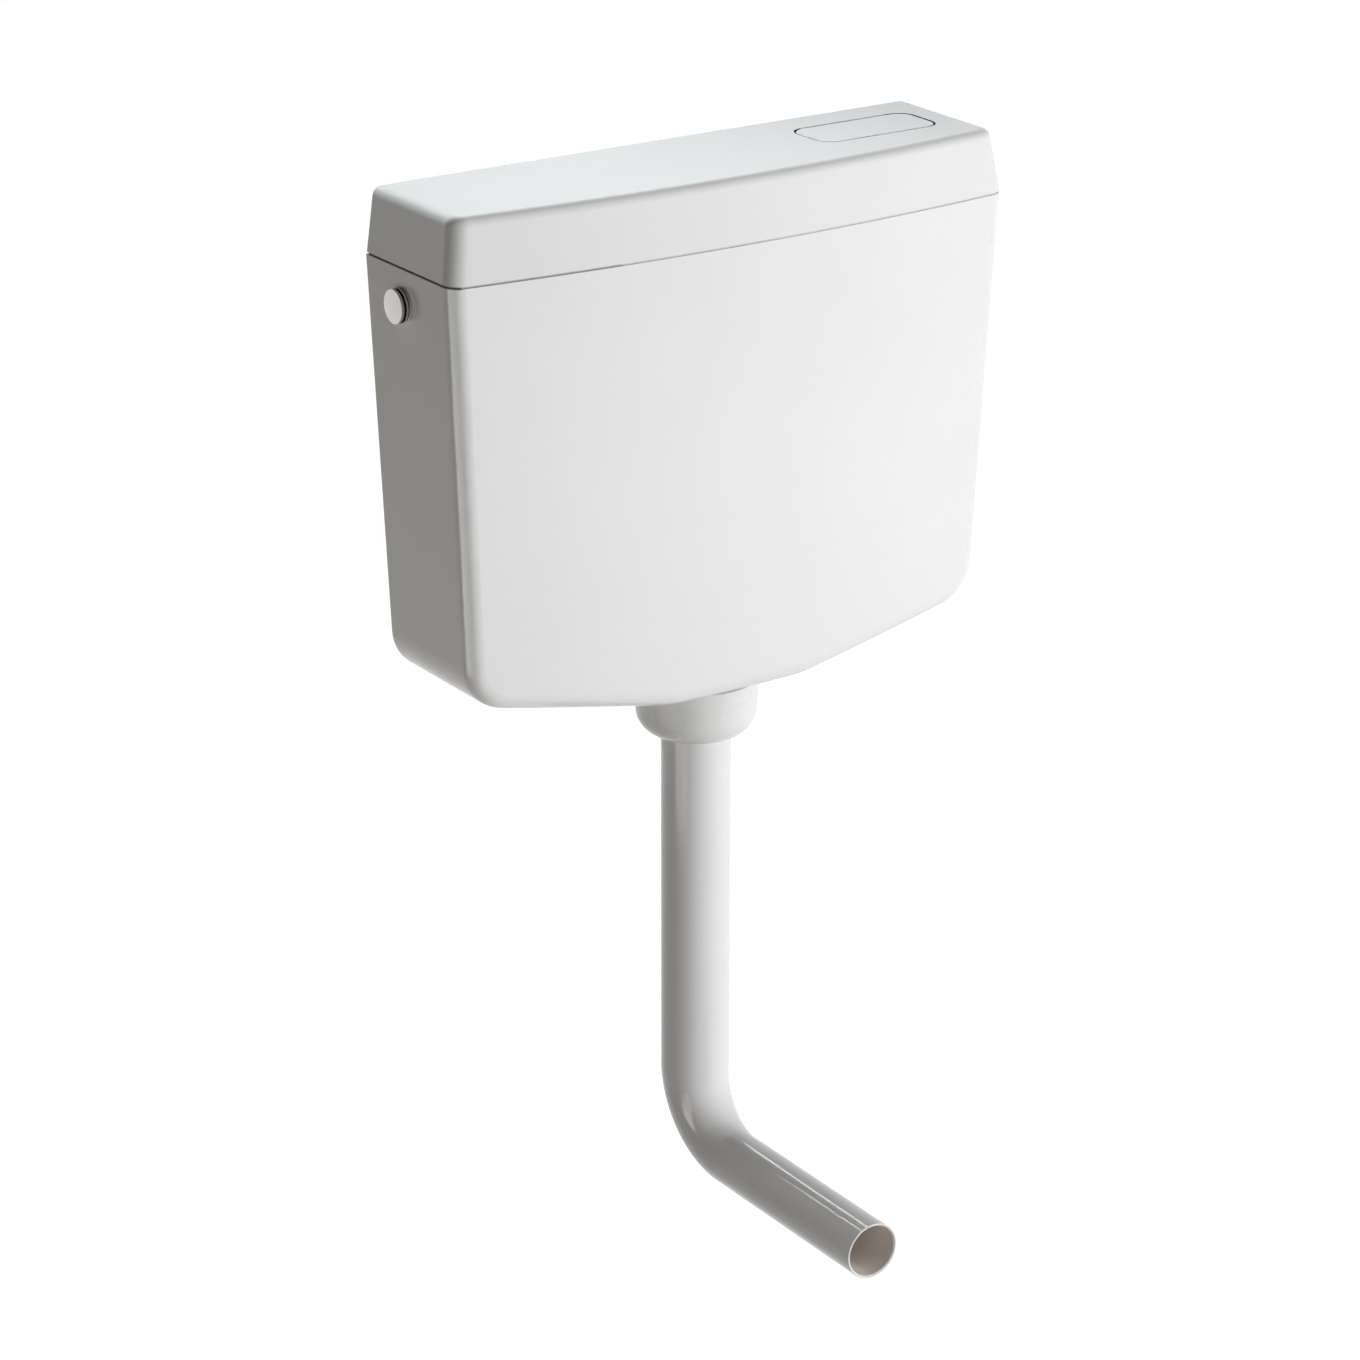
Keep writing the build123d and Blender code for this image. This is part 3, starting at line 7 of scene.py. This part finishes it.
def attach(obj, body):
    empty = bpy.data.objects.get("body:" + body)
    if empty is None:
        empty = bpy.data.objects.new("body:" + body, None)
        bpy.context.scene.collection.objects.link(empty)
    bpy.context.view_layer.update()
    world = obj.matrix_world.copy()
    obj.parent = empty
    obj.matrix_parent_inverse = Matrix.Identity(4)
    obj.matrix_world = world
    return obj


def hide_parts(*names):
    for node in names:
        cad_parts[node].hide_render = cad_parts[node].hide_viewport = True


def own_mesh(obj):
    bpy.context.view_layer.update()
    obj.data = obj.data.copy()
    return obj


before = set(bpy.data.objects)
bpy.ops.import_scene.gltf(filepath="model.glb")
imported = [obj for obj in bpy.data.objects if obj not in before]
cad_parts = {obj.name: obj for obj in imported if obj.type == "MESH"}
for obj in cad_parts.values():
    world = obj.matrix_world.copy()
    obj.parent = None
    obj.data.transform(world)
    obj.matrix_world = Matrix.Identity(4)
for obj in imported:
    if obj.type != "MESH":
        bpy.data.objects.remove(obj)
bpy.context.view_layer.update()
scene = bpy.context.scene

# Camera at the photograph's viewing angle.
CAMERA_PLACE = Vector((-1.59972, -2.41888, 0.79511))
CAMERA_AZIMUTH = -33.9027
CAMERA_ELEVATION = 21.0613
CAMERA_ROLL = 0.047
LENS_MM = 114.722
SENSOR_MM = 36.0
NEAR_CLIP = 0.05
FAR_CLIP = 60.0
RIGHT_ANGLE = 90.0

camera_data = bpy.data.cameras.new("camera")
camera_data.lens = LENS_MM
camera_data.sensor_fit = "HORIZONTAL"
camera_data.sensor_width = SENSOR_MM
camera_data.clip_start = NEAR_CLIP
camera_data.clip_end = FAR_CLIP
camera = bpy.data.objects.new("camera", camera_data)
scene.collection.objects.link(camera)
turn = Matrix.Rotation(math.radians(CAMERA_AZIMUTH), 4, "Z")
tilt = Matrix.Rotation(math.radians(RIGHT_ANGLE - CAMERA_ELEVATION), 4, "X")
roll = Matrix.Rotation(math.radians(CAMERA_ROLL), 4, "Z")
camera.matrix_world = Matrix.Translation(CAMERA_PLACE) @ turn @ tilt @ roll
scene.camera = camera
scene.view_settings.view_transform = "Standard"


class Graph:
    """A node tree, with short calls for its nodes and links."""

    def __init__(self, tree, output="ShaderNodeOutputMaterial"):
        self.tree = tree
        self.tree.nodes.clear()
        self.output = self.node(output)

    def node(self, kind, **settings):
        made = self.tree.nodes.new(kind)
        for key, value in settings.items():
            setattr(made, key, value)
        return made

    def link(self, source, target):
        self.tree.links.new(source, target)

    def place(self, stretch=(1.0, 1.0, 1.0)):
        """Object coordinates, stretched along the axes."""
        coordinates = self.node("ShaderNodeTexCoord")
        mapping = self.node("ShaderNodeMapping")
        mapping.inputs["Scale"].default_value = stretch
        self.link(coordinates.outputs["Object"], mapping.inputs["Vector"])
        return mapping.outputs["Vector"]

    def noise(self, where, scale, detail=3.0, roughness=0.5):
        made = self.node("ShaderNodeTexNoise")
        made.inputs["Scale"].default_value = scale
        made.inputs["Detail"].default_value = detail
        made.inputs["Roughness"].default_value = roughness
        self.link(where, made.inputs["Vector"])
        return made.outputs["Fac"]

    def spread(self, value, low, high, start=0.3, end=0.7):
        """The value's range from start to end, spread over low to high."""
        made = self.node("ShaderNodeMapRange")
        made.inputs["From Min"].default_value = start
        made.inputs["From Max"].default_value = end
        made.inputs["To Min"].default_value = low
        made.inputs["To Max"].default_value = high
        self.link(value, made.inputs["Value"])
        return made.outputs["Result"]

    def colours(self, value, first, last):
        """A colour ramp over the value. Each end is a position and an RGB colour."""
        ramp = self.node("ShaderNodeValToRGB")
        for element, (position, colour) in zip(ramp.color_ramp.elements, (first, last)):
            element.position = position
            element.color = (*colour, 1.0)
        self.link(value, ramp.inputs["Fac"])
        return ramp.outputs["Color"]

    def combined(self, operation, first, second):
        """Two values joined by one operation of the Math node."""
        made = self.node("ShaderNodeMath", operation=operation)
        self.link(first, made.inputs[0])
        self.link(second, made.inputs[1])
        return made.outputs["Value"]

    def within(self, value, low, high):
        """One where the value lies between low and high, nought elsewhere."""
        made = self.node("ShaderNodeMath", operation="COMPARE")
        self.link(value, made.inputs[0])
        made.inputs[1].default_value = (low + high) / 2
        made.inputs[2].default_value = (high - low) / 2
        return made.outputs["Value"]

    def axes(self, where):
        """The three coordinates, each by its letter."""
        parts = self.node("ShaderNodeSeparateXYZ")
        self.link(where, parts.inputs["Vector"])
        return parts.outputs

    def box_mask(self, where, low, high):
        """One inside a box in object coordinates, nought elsewhere."""
        along = self.axes(where)
        inside = [
            self.within(along[letter], start, end) for letter, start, end in zip("XYZ", low, high)
        ]
        return self.combined("MULTIPLY", self.combined("MULTIPLY", inside[0], inside[1]), inside[2])

    def bore_mask(self, where, height, radius, start, end):
        """One inside a tube that runs along Y at this height, nought elsewhere."""
        moved = self.node("ShaderNodeVectorMath", operation="ADD")
        moved.inputs[1].default_value = (0.0, 0.0, -height)
        self.link(where, moved.inputs[0])
        flat = self.node("ShaderNodeVectorMath", operation="MULTIPLY")
        flat.inputs[1].default_value = (1.0, 0.0, 1.0)
        self.link(moved.outputs["Vector"], flat.inputs[0])
        away = self.node("ShaderNodeVectorMath", operation="LENGTH")
        self.link(flat.outputs["Vector"], away.inputs[0])
        inside = self.within(away.outputs["Value"], -radius, radius)
        return self.combined("MULTIPLY", inside, self.within(self.axes(where)["Y"], start, end))

    def toned(self, colour, mask, tone):
        """The colour turned into a darker one where the mask is one."""
        made = self.node("ShaderNodeMix", data_type="RGBA", blend_type="MULTIPLY")
        self.link(mask, made.inputs["Factor"])
        self.link(colour, made.inputs[6])
        made.inputs[7].default_value = (*tone, 1.0)
        return made.outputs[2]

    def bump(self, height, strength, distance, under=None):
        made = self.node("ShaderNodeBump")
        made.inputs["Strength"].default_value = strength
        made.inputs["Distance"].default_value = distance
        self.link(height, made.inputs["Height"])
        if under is not None:
            self.link(under, made.inputs["Normal"])
        return made.outputs["Normal"]

    def principled(self, colour, roughness, normal, **constants):
        shader = self.node("ShaderNodeBsdfPrincipled")
        self.link(colour, shader.inputs["Base Color"])
        self.link(roughness, shader.inputs["Roughness"])
        self.link(normal, shader.inputs["Normal"])
        for key, value in constants.items():
            shader.inputs[key].default_value = value
        self.link(shader.outputs["BSDF"], self.output.inputs["Surface"])

    def seen_directly(self):
        """One for rays from the camera, from gloss and through glass, nought for light's own."""
        rays = self.node("ShaderNodeLightPath").outputs
        seen = self.combined("MAXIMUM", rays["Is Camera Ray"], rays["Is Glossy Ray"])
        return self.combined("MAXIMUM", seen, rays["Is Transmission Ray"])


def new_material(name):
    """A new material and the graph that fills it."""
    material = bpy.data.materials.new(name)
    material.use_nodes = True
    return material, Graph(material.node_tree)


def shade(colour, factor):
    return tuple(min(1.0, channel * factor) for channel in colour)


def grey(level):
    return (level, level, level)


# Noise of the materials: scale, then detail where it isn't 3, then roughness where it isn't 0.5.
CLOUDS = (9.0, 4.0)
PATCHES = (34.0, 5.0, 0.6)
WAVES = (46.0, 2.0)
GRAIN = (900.0, 2.0)
DUST = (160.0, 6.0, 0.7)
RUBBER_BLOOM = (300.0, 4.0)
RUBBER_GRAIN = (2600.0,)
BEAD_SCALE = 330.0
FOAM_PATCHES = (60.0,)
PLATING_DRIFT = (120.0, 4.0)
HAIRLINES = (700.0, 2.0)
HAIRLINE_STRETCH = (1.0, 9.0, 1.0)
TURNED_LINES = (420.0, 5.0, 0.65)
STAIN = (70.0, 5.0, 0.6)
PAPER_GRAIN = (3.0,)

# Where along the noise the two colours of a ramp begin and end.
RAMP_START = 0.3
RAMP_END = 0.7
DUST_RAMP = (0.35, 0.75)
SEAM_RAMP = (0.0, 0.14)
STAIN_END = 0.72

# Roughness of matt surfaces, and the shares of its gloss between which a glossy one drifts.
RUBBER_ROUGHNESS = (0.5, 0.72)
FOAM_ROUGHNESS = (0.75, 0.92)
MOULDED_DRIFT = (0.88, 1.16)
PLATED_DRIFT = (0.7, 1.5)
TURNED_DRIFT = (0.7, 1.4)
PLATING_SHADES = (0.96, 1.03)

# Heights of the bumps, in metres.
WAVE_HEIGHT = 0.0008
GRAIN_HEIGHT = 0.00006
RUBBER_HEIGHT = 0.00008
BEAD_HEIGHT = 0.0004
PLATING_HEIGHT = 0.0002

# Strengths of the bumps.
RUBBER_STRENGTH = 0.25
BEAD_STRENGTH = 0.45
PLATING_STRENGTH = 0.05
TURNED_STRENGTH = 0.18

# How wide a seam between two beads is, as a distance in the bead pattern.
BEAD_EDGE = 0.2


def moulded_plastic(
    name, colour, gloss, ripple, spread=0.012, grain=0.0, painted_shades=(), bore=None, index=1.5
):
    """Injection-moulded plastic: faint clouds of tone, uneven gloss and a soft ripple."""
    material, graph = new_material(name)
    where = graph.place()
    tone = graph.colours(
        graph.noise(where, *CLOUDS),
        (RAMP_START, shade(colour, 1.0 - spread)),
        (RAMP_END, shade(colour, 1.0 + spread)),
    )
    # Painted shade: each box darkens the colour where a gap or hollow of the part lies in shade.
    for low, high, darker in painted_shades:
        tone = graph.toned(tone, graph.box_mask(where, low, high), darker)
    if bore is not None:
        tube, darker = bore
        tone = graph.toned(tone, graph.bore_mask(where, **tube), darker)
    smooth, rough = (gloss * share for share in MOULDED_DRIFT)
    roughness = graph.spread(graph.noise(where, *PATCHES), smooth, rough)
    normal = graph.bump(graph.noise(where, *WAVES), ripple, WAVE_HEIGHT)
    if grain:
        normal = graph.bump(graph.noise(where, *GRAIN), grain, GRAIN_HEIGHT, normal)
    graph.principled(tone, roughness, normal, IOR=index)
    return material


def rubber(name, dark, dusty):
    """Black rubber with dust and a fine grain."""
    material, graph = new_material(name)
    where = graph.place()
    tone = graph.colours(graph.noise(where, *DUST), *zip(DUST_RAMP, (dark, dusty)))
    roughness = graph.spread(graph.noise(where, *RUBBER_BLOOM), *RUBBER_ROUGHNESS)
    grain = graph.noise(where, *RUBBER_GRAIN)
    graph.principled(tone, roughness, graph.bump(grain, RUBBER_STRENGTH, RUBBER_HEIGHT))
    return material


def foam(name, seam_colour, bead_colour):
    """Expanded foam: fused beads with fine seams between them."""
    material, graph = new_material(name)
    where = graph.place()
    beads = graph.node("ShaderNodeTexVoronoi", feature="DISTANCE_TO_EDGE")
    beads.inputs["Scale"].default_value = BEAD_SCALE
    graph.link(where, beads.inputs["Vector"])
    seam = beads.outputs["Distance"]
    tone = graph.colours(seam, *zip(SEAM_RAMP, (seam_colour, bead_colour)))
    roughness = graph.spread(graph.noise(where, *FOAM_PATCHES), *FOAM_ROUGHNESS)
    rise = graph.spread(seam, 0.0, 1.0, 0.0, BEAD_EDGE)
    graph.principled(tone, roughness, graph.bump(rise, BEAD_STRENGTH, BEAD_HEIGHT))
    return material


def plated(name, colour, gloss, painted_shades):
    """Bright plating with a faint satin drift and hairline marks."""
    material, graph = new_material(name)
    where = graph.place()
    drift = graph.noise(where, *PLATING_DRIFT)
    dull, bright = (shade(colour, factor) for factor in PLATING_SHADES)
    tone = graph.colours(drift, (RAMP_START, dull), (RAMP_END, bright))
    # Painted shade: each box darkens the colour where a groove of the part lies in shade.
    for low, high, darker in painted_shades:
        tone = graph.toned(tone, graph.box_mask(where, low, high), darker)
    hairlines = graph.noise(graph.place(HAIRLINE_STRETCH), *HAIRLINES)
    smooth, rough = (gloss * share for share in PLATED_DRIFT)
    roughness = graph.spread(hairlines, smooth, rough)
    normal = graph.bump(drift, PLATING_STRENGTH, PLATING_HEIGHT)
    graph.principled(tone, roughness, normal, Metallic=1.0)
    return material


def turned_metal(name, dark, light, gloss, stretch):
    """Drawn or turned metal: fine lines along one direction."""
    material, graph = new_material(name)
    lines = graph.noise(graph.place(stretch), *TURNED_LINES)
    stain = graph.noise(graph.place(), *STAIN)
    tone = graph.colours(stain, (RAMP_START, dark), (STAIN_END, light))
    smooth, rough = (gloss * share for share in TURNED_DRIFT)
    roughness = graph.spread(lines, smooth, rough)
    normal = graph.bump(lines, TURNED_STRENGTH, GRAIN_HEIGHT)
    graph.principled(tone, roughness, normal, Metallic=1.0)
    return material


# Painted shade in the gaps: boxes in object coordinates, each with the share of the colour that is
# left there.
FAR = 1.0


def band(foot, top, tone, start=-FAR, end=FAR):
    """A box between two heights, from start to end along X, as deep as the object."""
    return (start, -FAR, foot), (end, FAR, top), tone


# Painted shade in the line between tank and lid: deepest on the left side, where it also runs a
# little below the gap onto the tank's wall, and fainter along the front.
LINE_EDGE = 0.0279
LINE_LOW = 0.02845
LINE_HIGH = 0.0302
SIDE_END = -0.2165
LEFT_END = -0.1
MIDDLE_END = 0.02
LID_LINE_SHADE = (
    band(LINE_LOW, LINE_HIGH, (0.16, 0.15, 0.14), end=SIDE_END),
    band(LINE_EDGE, LINE_LOW, (0.5, 0.5, 0.49), end=SIDE_END),
    band(LINE_LOW, LINE_HIGH, (0.6, 0.6, 0.59), start=SIDE_END, end=LEFT_END),
    band(LINE_LOW, LINE_HIGH, (0.85, 0.85, 0.84), start=LEFT_END, end=MIDDLE_END),
    band(LINE_LOW, LINE_HIGH, (0.9, 0.9, 0.89), start=MIDDLE_END),
)

# Painted shade in the upper 2 mm of the gap around the button: on the aperture's walls and the
# button's own sides.
APERTURE_FOOT = 0.0712
APERTURE_TOP = 0.07335
APERTURE_START = 0.0945
APERTURE_LEFT_END = 0.1075
APERTURE_RIGHT_START = 0.18
APERTURE_END = 0.1975
APERTURE_FRONT = -0.0745
APERTURE_BACK = -0.029
APERTURE_REAR = -0.0265


def aperture_wall(start, end, front, tone):
    """A stretch of the aperture's wall, from start to end along X."""
    return (start, front, APERTURE_FOOT), (end, APERTURE_REAR, APERTURE_TOP), tone


WALL_SHADE = grey(0.07)
REAR_SHADE = grey(0.9)
APERTURE_GAP_SHADE = (
    aperture_wall(APERTURE_LEFT_END, APERTURE_RIGHT_START, APERTURE_BACK, REAR_SHADE),
    aperture_wall(APERTURE_START, APERTURE_LEFT_END, APERTURE_FRONT, WALL_SHADE),
    aperture_wall(APERTURE_RIGHT_START, APERTURE_END, APERTURE_FRONT, WALL_SHADE),
)
BUTTON_FOOT = 0.0711
BUTTON_EDGE = 0.0728
BUTTON_TOP = 0.0731
BUTTON_GAP_SHADE = (
    band(BUTTON_FOOT, BUTTON_EDGE, tone=grey(0.015)),
    band(BUTTON_EDGE, BUTTON_TOP, tone=grey(0.5)),
)

# Painted shade on the brim of the cup nut just under the tank, and in the neck behind the plug's
# disc; a warmer tint inside the pipe's open end.
CUP_BRIM_SHADE = (band(foot=-0.2974, top=-0.2955, tone=(0.4, 0.4, 0.39)),)
PLUG_NECK_SHADE = (band(-FAR, FAR, tone=(0.12, 0.11, 0.11), start=-0.22845, end=-0.22675),)
PIPE_MOUTH = (
    {"height": -0.6578, "radius": 0.0197, "start": -0.2784, "end": -0.1},
    (1.0, 0.93, 0.87),
)

# Each material, and the CAD nodes that wear it.
FINISHES = [
    (
        moulded_plastic(
            "tank_gloss", (0.80, 0.80, 0.785), gloss=0.22, ripple=0.03, painted_shades=LID_LINE_SHADE
        ),
        ["cistern_body"],
    ),
    (
        moulded_plastic(
            "lid_gloss", (0.80, 0.80, 0.79), gloss=0.20, ripple=0.03, painted_shades=APERTURE_GAP_SHADE
        ),
        ["lid"],
    ),
    (
        moulded_plastic(
            "button_gloss", (0.82, 0.82, 0.815), gloss=0.24, ripple=0.03, painted_shades=BUTTON_GAP_SHADE
        ),
        ["flush_button"],
    ),
    (
        moulded_plastic(
            "pipe_gloss", (0.80, 0.795, 0.79), gloss=0.1, ripple=0.03, bore=PIPE_MOUTH, index=1.4
        ),
        ["flush_pipe"],
    ),
    (
        moulded_plastic(
            "cup_gloss", (0.765, 0.765, 0.75), gloss=0.26, ripple=0.05, painted_shades=CUP_BRIM_SHADE
        ),
        ["pipe_nut"],
    ),
    (
        foam("liner_foam", seam_colour=(0.70, 0.69, 0.66), bead_colour=(0.86, 0.86, 0.84)),
        ["insulation_liner"],
    ),
    (
        moulded_plastic(
            "fitting_satin", (0.66, 0.67, 0.67), gloss=0.38, ripple=0.08, spread=0.03, grain=0.2
        ),
        [
            "button_guide", "lever_bracket", "lift_rod", "lift_tube", "seal_clip", "valve_base",
            "fill_valve_body", "float_arm",
        ],
    ),
    (
        moulded_plastic(
            "lever_blue", (0.045, 0.15, 0.34), gloss=0.34, ripple=0.08, spread=0.06, grain=0.2
        ),
        ["rocker_lever", "lift_collar", "lift_yoke", "fill_valve_cap"],
    ),
    (
        moulded_plastic(
            "nut_grey", (0.085, 0.09, 0.1), gloss=0.42, ripple=0.08, spread=0.08, grain=0.3
        ),
        ["outlet_backnut", "cap_backnut", "inlet_backnut", "fill_tube"],
    ),
    (
        moulded_plastic(
            "float_grey", (0.42, 0.44, 0.46), gloss=0.45, ripple=0.08, spread=0.04, grain=0.3
        ),
        ["valve_float", "valve_cage", "water_float"],
    ),
    (
        rubber("seal_black", dark=(0.012, 0.012, 0.013), dusty=(0.045, 0.044, 0.043)),
        ["valve_seal", "outlet_washer", "pipe_seal", "cap_washer", "inlet_washer"],
    ),
    (
        plated("cap_chrome", (0.55, 0.52, 0.5), gloss=0.09, painted_shades=PLUG_NECK_SHADE),
        ["inlet_cap"],
    ),
    (
        turned_metal(
            "brass", dark=(0.50, 0.34, 0.12), light=(0.72, 0.53, 0.24), gloss=0.24,
            stretch=(1.0, 22.0, 22.0),
        ),
        ["inlet_nipple", "fill_piston"],
    ),
    (
        turned_metal(
            "steel", dark=(0.46, 0.46, 0.45), light=(0.64, 0.64, 0.63), gloss=0.26,
            stretch=(3.0, 3.0, 26.0),
        ),
        [
            "guide_screws", "button_spring", "bracket_screws", "lever_pin", "lever_clip",
            "arm_pin", "arm_clip",
        ],
    ),
]
for material, names in FINISHES:
    for name in names:
        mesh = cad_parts[name].data
        mesh.materials.clear()
        mesh.materials.append(material)

# The button's return spring: the same coil as in the CAD, on the tray, with a mesh of its own.
spring = bpy.data.objects.new("return_spring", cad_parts["button_spring"].data.copy())
scene.collection.objects.link(spring)
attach(spring, "lid")
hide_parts("button_spring")
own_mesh(spring)

# Floor far below the hung tank, wide enough that its edge is never seen.
FLOOR_HEIGHT = -1.05
FLOOR_HALF = 14.0
PAPER_DARK = grey(0.80)
PAPER_LIGHT = grey(0.82)
WHITE_GLOW = 0.98
WHITE = (1.0, 1.0, 1.0, 1.0)

floor_mesh = bpy.data.meshes.new("floor")
corners = [(-1, -1), (1, -1), (1, 1), (-1, 1)]
floor_points = [(FLOOR_HALF * x, FLOOR_HALF * y, FLOOR_HEIGHT) for x, y in corners]
floor_mesh.from_pydata(floor_points, [], [(0, 1, 2, 3)])
floor = bpy.data.objects.new("floor", floor_mesh)
scene.collection.objects.link(floor)

floor_material, graph = new_material("floor_paper")
paper = graph.node("ShaderNodeBsdfDiffuse")
paper_grain = graph.noise(graph.place(), *PAPER_GRAIN)
paper_tone = graph.colours(paper_grain, (RAMP_START, PAPER_DARK), (RAMP_END, PAPER_LIGHT))
graph.link(paper_tone, paper.inputs["Color"])
glow = graph.node("ShaderNodeEmission")
glow.inputs["Color"].default_value = WHITE
graph.link(graph.spread(graph.seen_directly(), 0.0, WHITE_GLOW, 0.0, 1.0), glow.inputs["Strength"])
lit_paper = graph.node("ShaderNodeAddShader")
graph.link(paper.outputs["BSDF"], lit_paper.inputs[0])
graph.link(glow.outputs["Emission"], lit_paper.inputs[1])

# From below the floor is clear, so that the tank's underside can be looked at too.
one_sided = graph.node("ShaderNodeMixShader")
graph.link(graph.node("ShaderNodeNewGeometry").outputs["Backfacing"], one_sided.inputs["Fac"])
graph.link(lit_paper.outputs["Shader"], one_sided.inputs[1])
graph.link(graph.node("ShaderNodeBsdfTransparent").outputs["BSDF"], one_sided.inputs[2])
graph.link(one_sided.outputs["Shader"], graph.output.inputs["Surface"])
floor_mesh.materials.append(floor_material)

# World: white where it is seen, and a low even fill as light.
FILL_COLOUR = (1.0, 0.88, 0.7, 1.0)
FILL_STRENGTH = 0.01
world = bpy.data.worlds.new("studio")
scene.world = world
world.use_nodes = True
graph = Graph(world.node_tree, "ShaderNodeOutputWorld")
studio = graph.node("ShaderNodeMixShader")
graph.link(graph.seen_directly(), studio.inputs["Fac"])
for socket, colour, strength in ((1, FILL_COLOUR, FILL_STRENGTH), (2, WHITE, 1.0)):
    background = graph.node("ShaderNodeBackground")
    background.inputs["Color"].default_value = colour
    background.inputs["Strength"].default_value = strength
    graph.link(background.outputs["Background"], studio.inputs[socket])
graph.link(studio.outputs["Shader"], graph.output.inputs["Surface"])


def softbox(
    name, place, aim, size, watts,
    colour=(1.0, 1.0, 1.0), spread=180.0, mirrored=True, lighting=True,
):
    """A soft lamp that the camera doesn't see.

    Gloss shows it only if it is mirrored, and it lights surfaces only if it is lighting.
    """
    data = bpy.data.lights.new(name, "AREA")
    data.shape = "RECTANGLE"
    data.size, data.size_y = size
    data.energy = watts
    data.color = colour
    data.spread = math.radians(spread)
    lamp = bpy.data.objects.new(name, data)
    facing = (Vector(aim) - Vector(place)).to_track_quat("-Z", "Y").to_matrix().to_4x4()
    lamp.matrix_world = Matrix.Translation(Vector(place)) @ facing
    lamp.visible_camera = False
    lamp.visible_glossy = mirrored
    lamp.visible_diffuse = lighting
    scene.collection.objects.link(lamp)


# Main light from the front right, weak fill from the front left, and light from above.
softbox(
    "key_box", place=(1.65, -2.7, -0.05), aim=(0.0, -0.1, -0.2), size=(2.4, 1.6),
    watts=85.5, colour=(0.97, 0.98, 1.0), mirrored=False,
)
softbox(
    "fill_box", place=(-2.1, -2.3, 0.05), aim=(0.0, -0.1, -0.3), size=(1.8, 1.6),
    watts=3.8, colour=(1.0, 0.95, 0.88), mirrored=False,
)
softbox(
    "over_box", place=(0.5, -1.6, 1.9), aim=(0.0, -0.06, 0.0), size=(1.0, 1.0),
    watts=9.0, colour=(1.0, 1.0, 0.98), mirrored=False,
)

# Light over the lid's top from behind, and a lamp low on the left for the tank's side.
softbox(
    "back_box", place=(-0.12, 1.2, 0.95), aim=(-0.12, -0.06, 0.5), size=(0.3, 0.5),
    watts=6.2, colour=(0.9, 0.96, 1.0), spread=54.0, mirrored=False,
)
softbox(
    "corner_box", place=(-1.41, 0.06, -0.6), aim=(-0.22, -0.1, -0.15), size=(0.48, 0.5),
    watts=1.9, colour=(1.0, 0.94, 0.87),
)

# A panel that only gloss shows, which draws the bright line down the tank's left front corner.
softbox(
    "edge_box", place=(-1.40, -0.22, -0.68), aim=(-0.22, -0.11, -0.13), size=(0.95, 0.6),
    watts=4.8, colour=(1.0, 0.98, 0.95), lighting=False,
)

# Two narrow lamps behind the object, which draw the bright lines along the pipe's leg.
STREAK_AIM = (0.0, -0.2, -0.66)
STREAK_WATTS = 0.07
STREAK_SPREAD = 56.0
softbox(
    "streak_box_left", place=(-0.1, 0.65, 0.14), aim=STREAK_AIM, size=(0.05, 0.35),
    watts=STREAK_WATTS, spread=STREAK_SPREAD,
)
softbox(
    "streak_box_right", place=(0.33, 0.65, 0.12), aim=STREAK_AIM, size=(0.07, 0.35),
    watts=STREAK_WATTS, spread=STREAK_SPREAD,
)
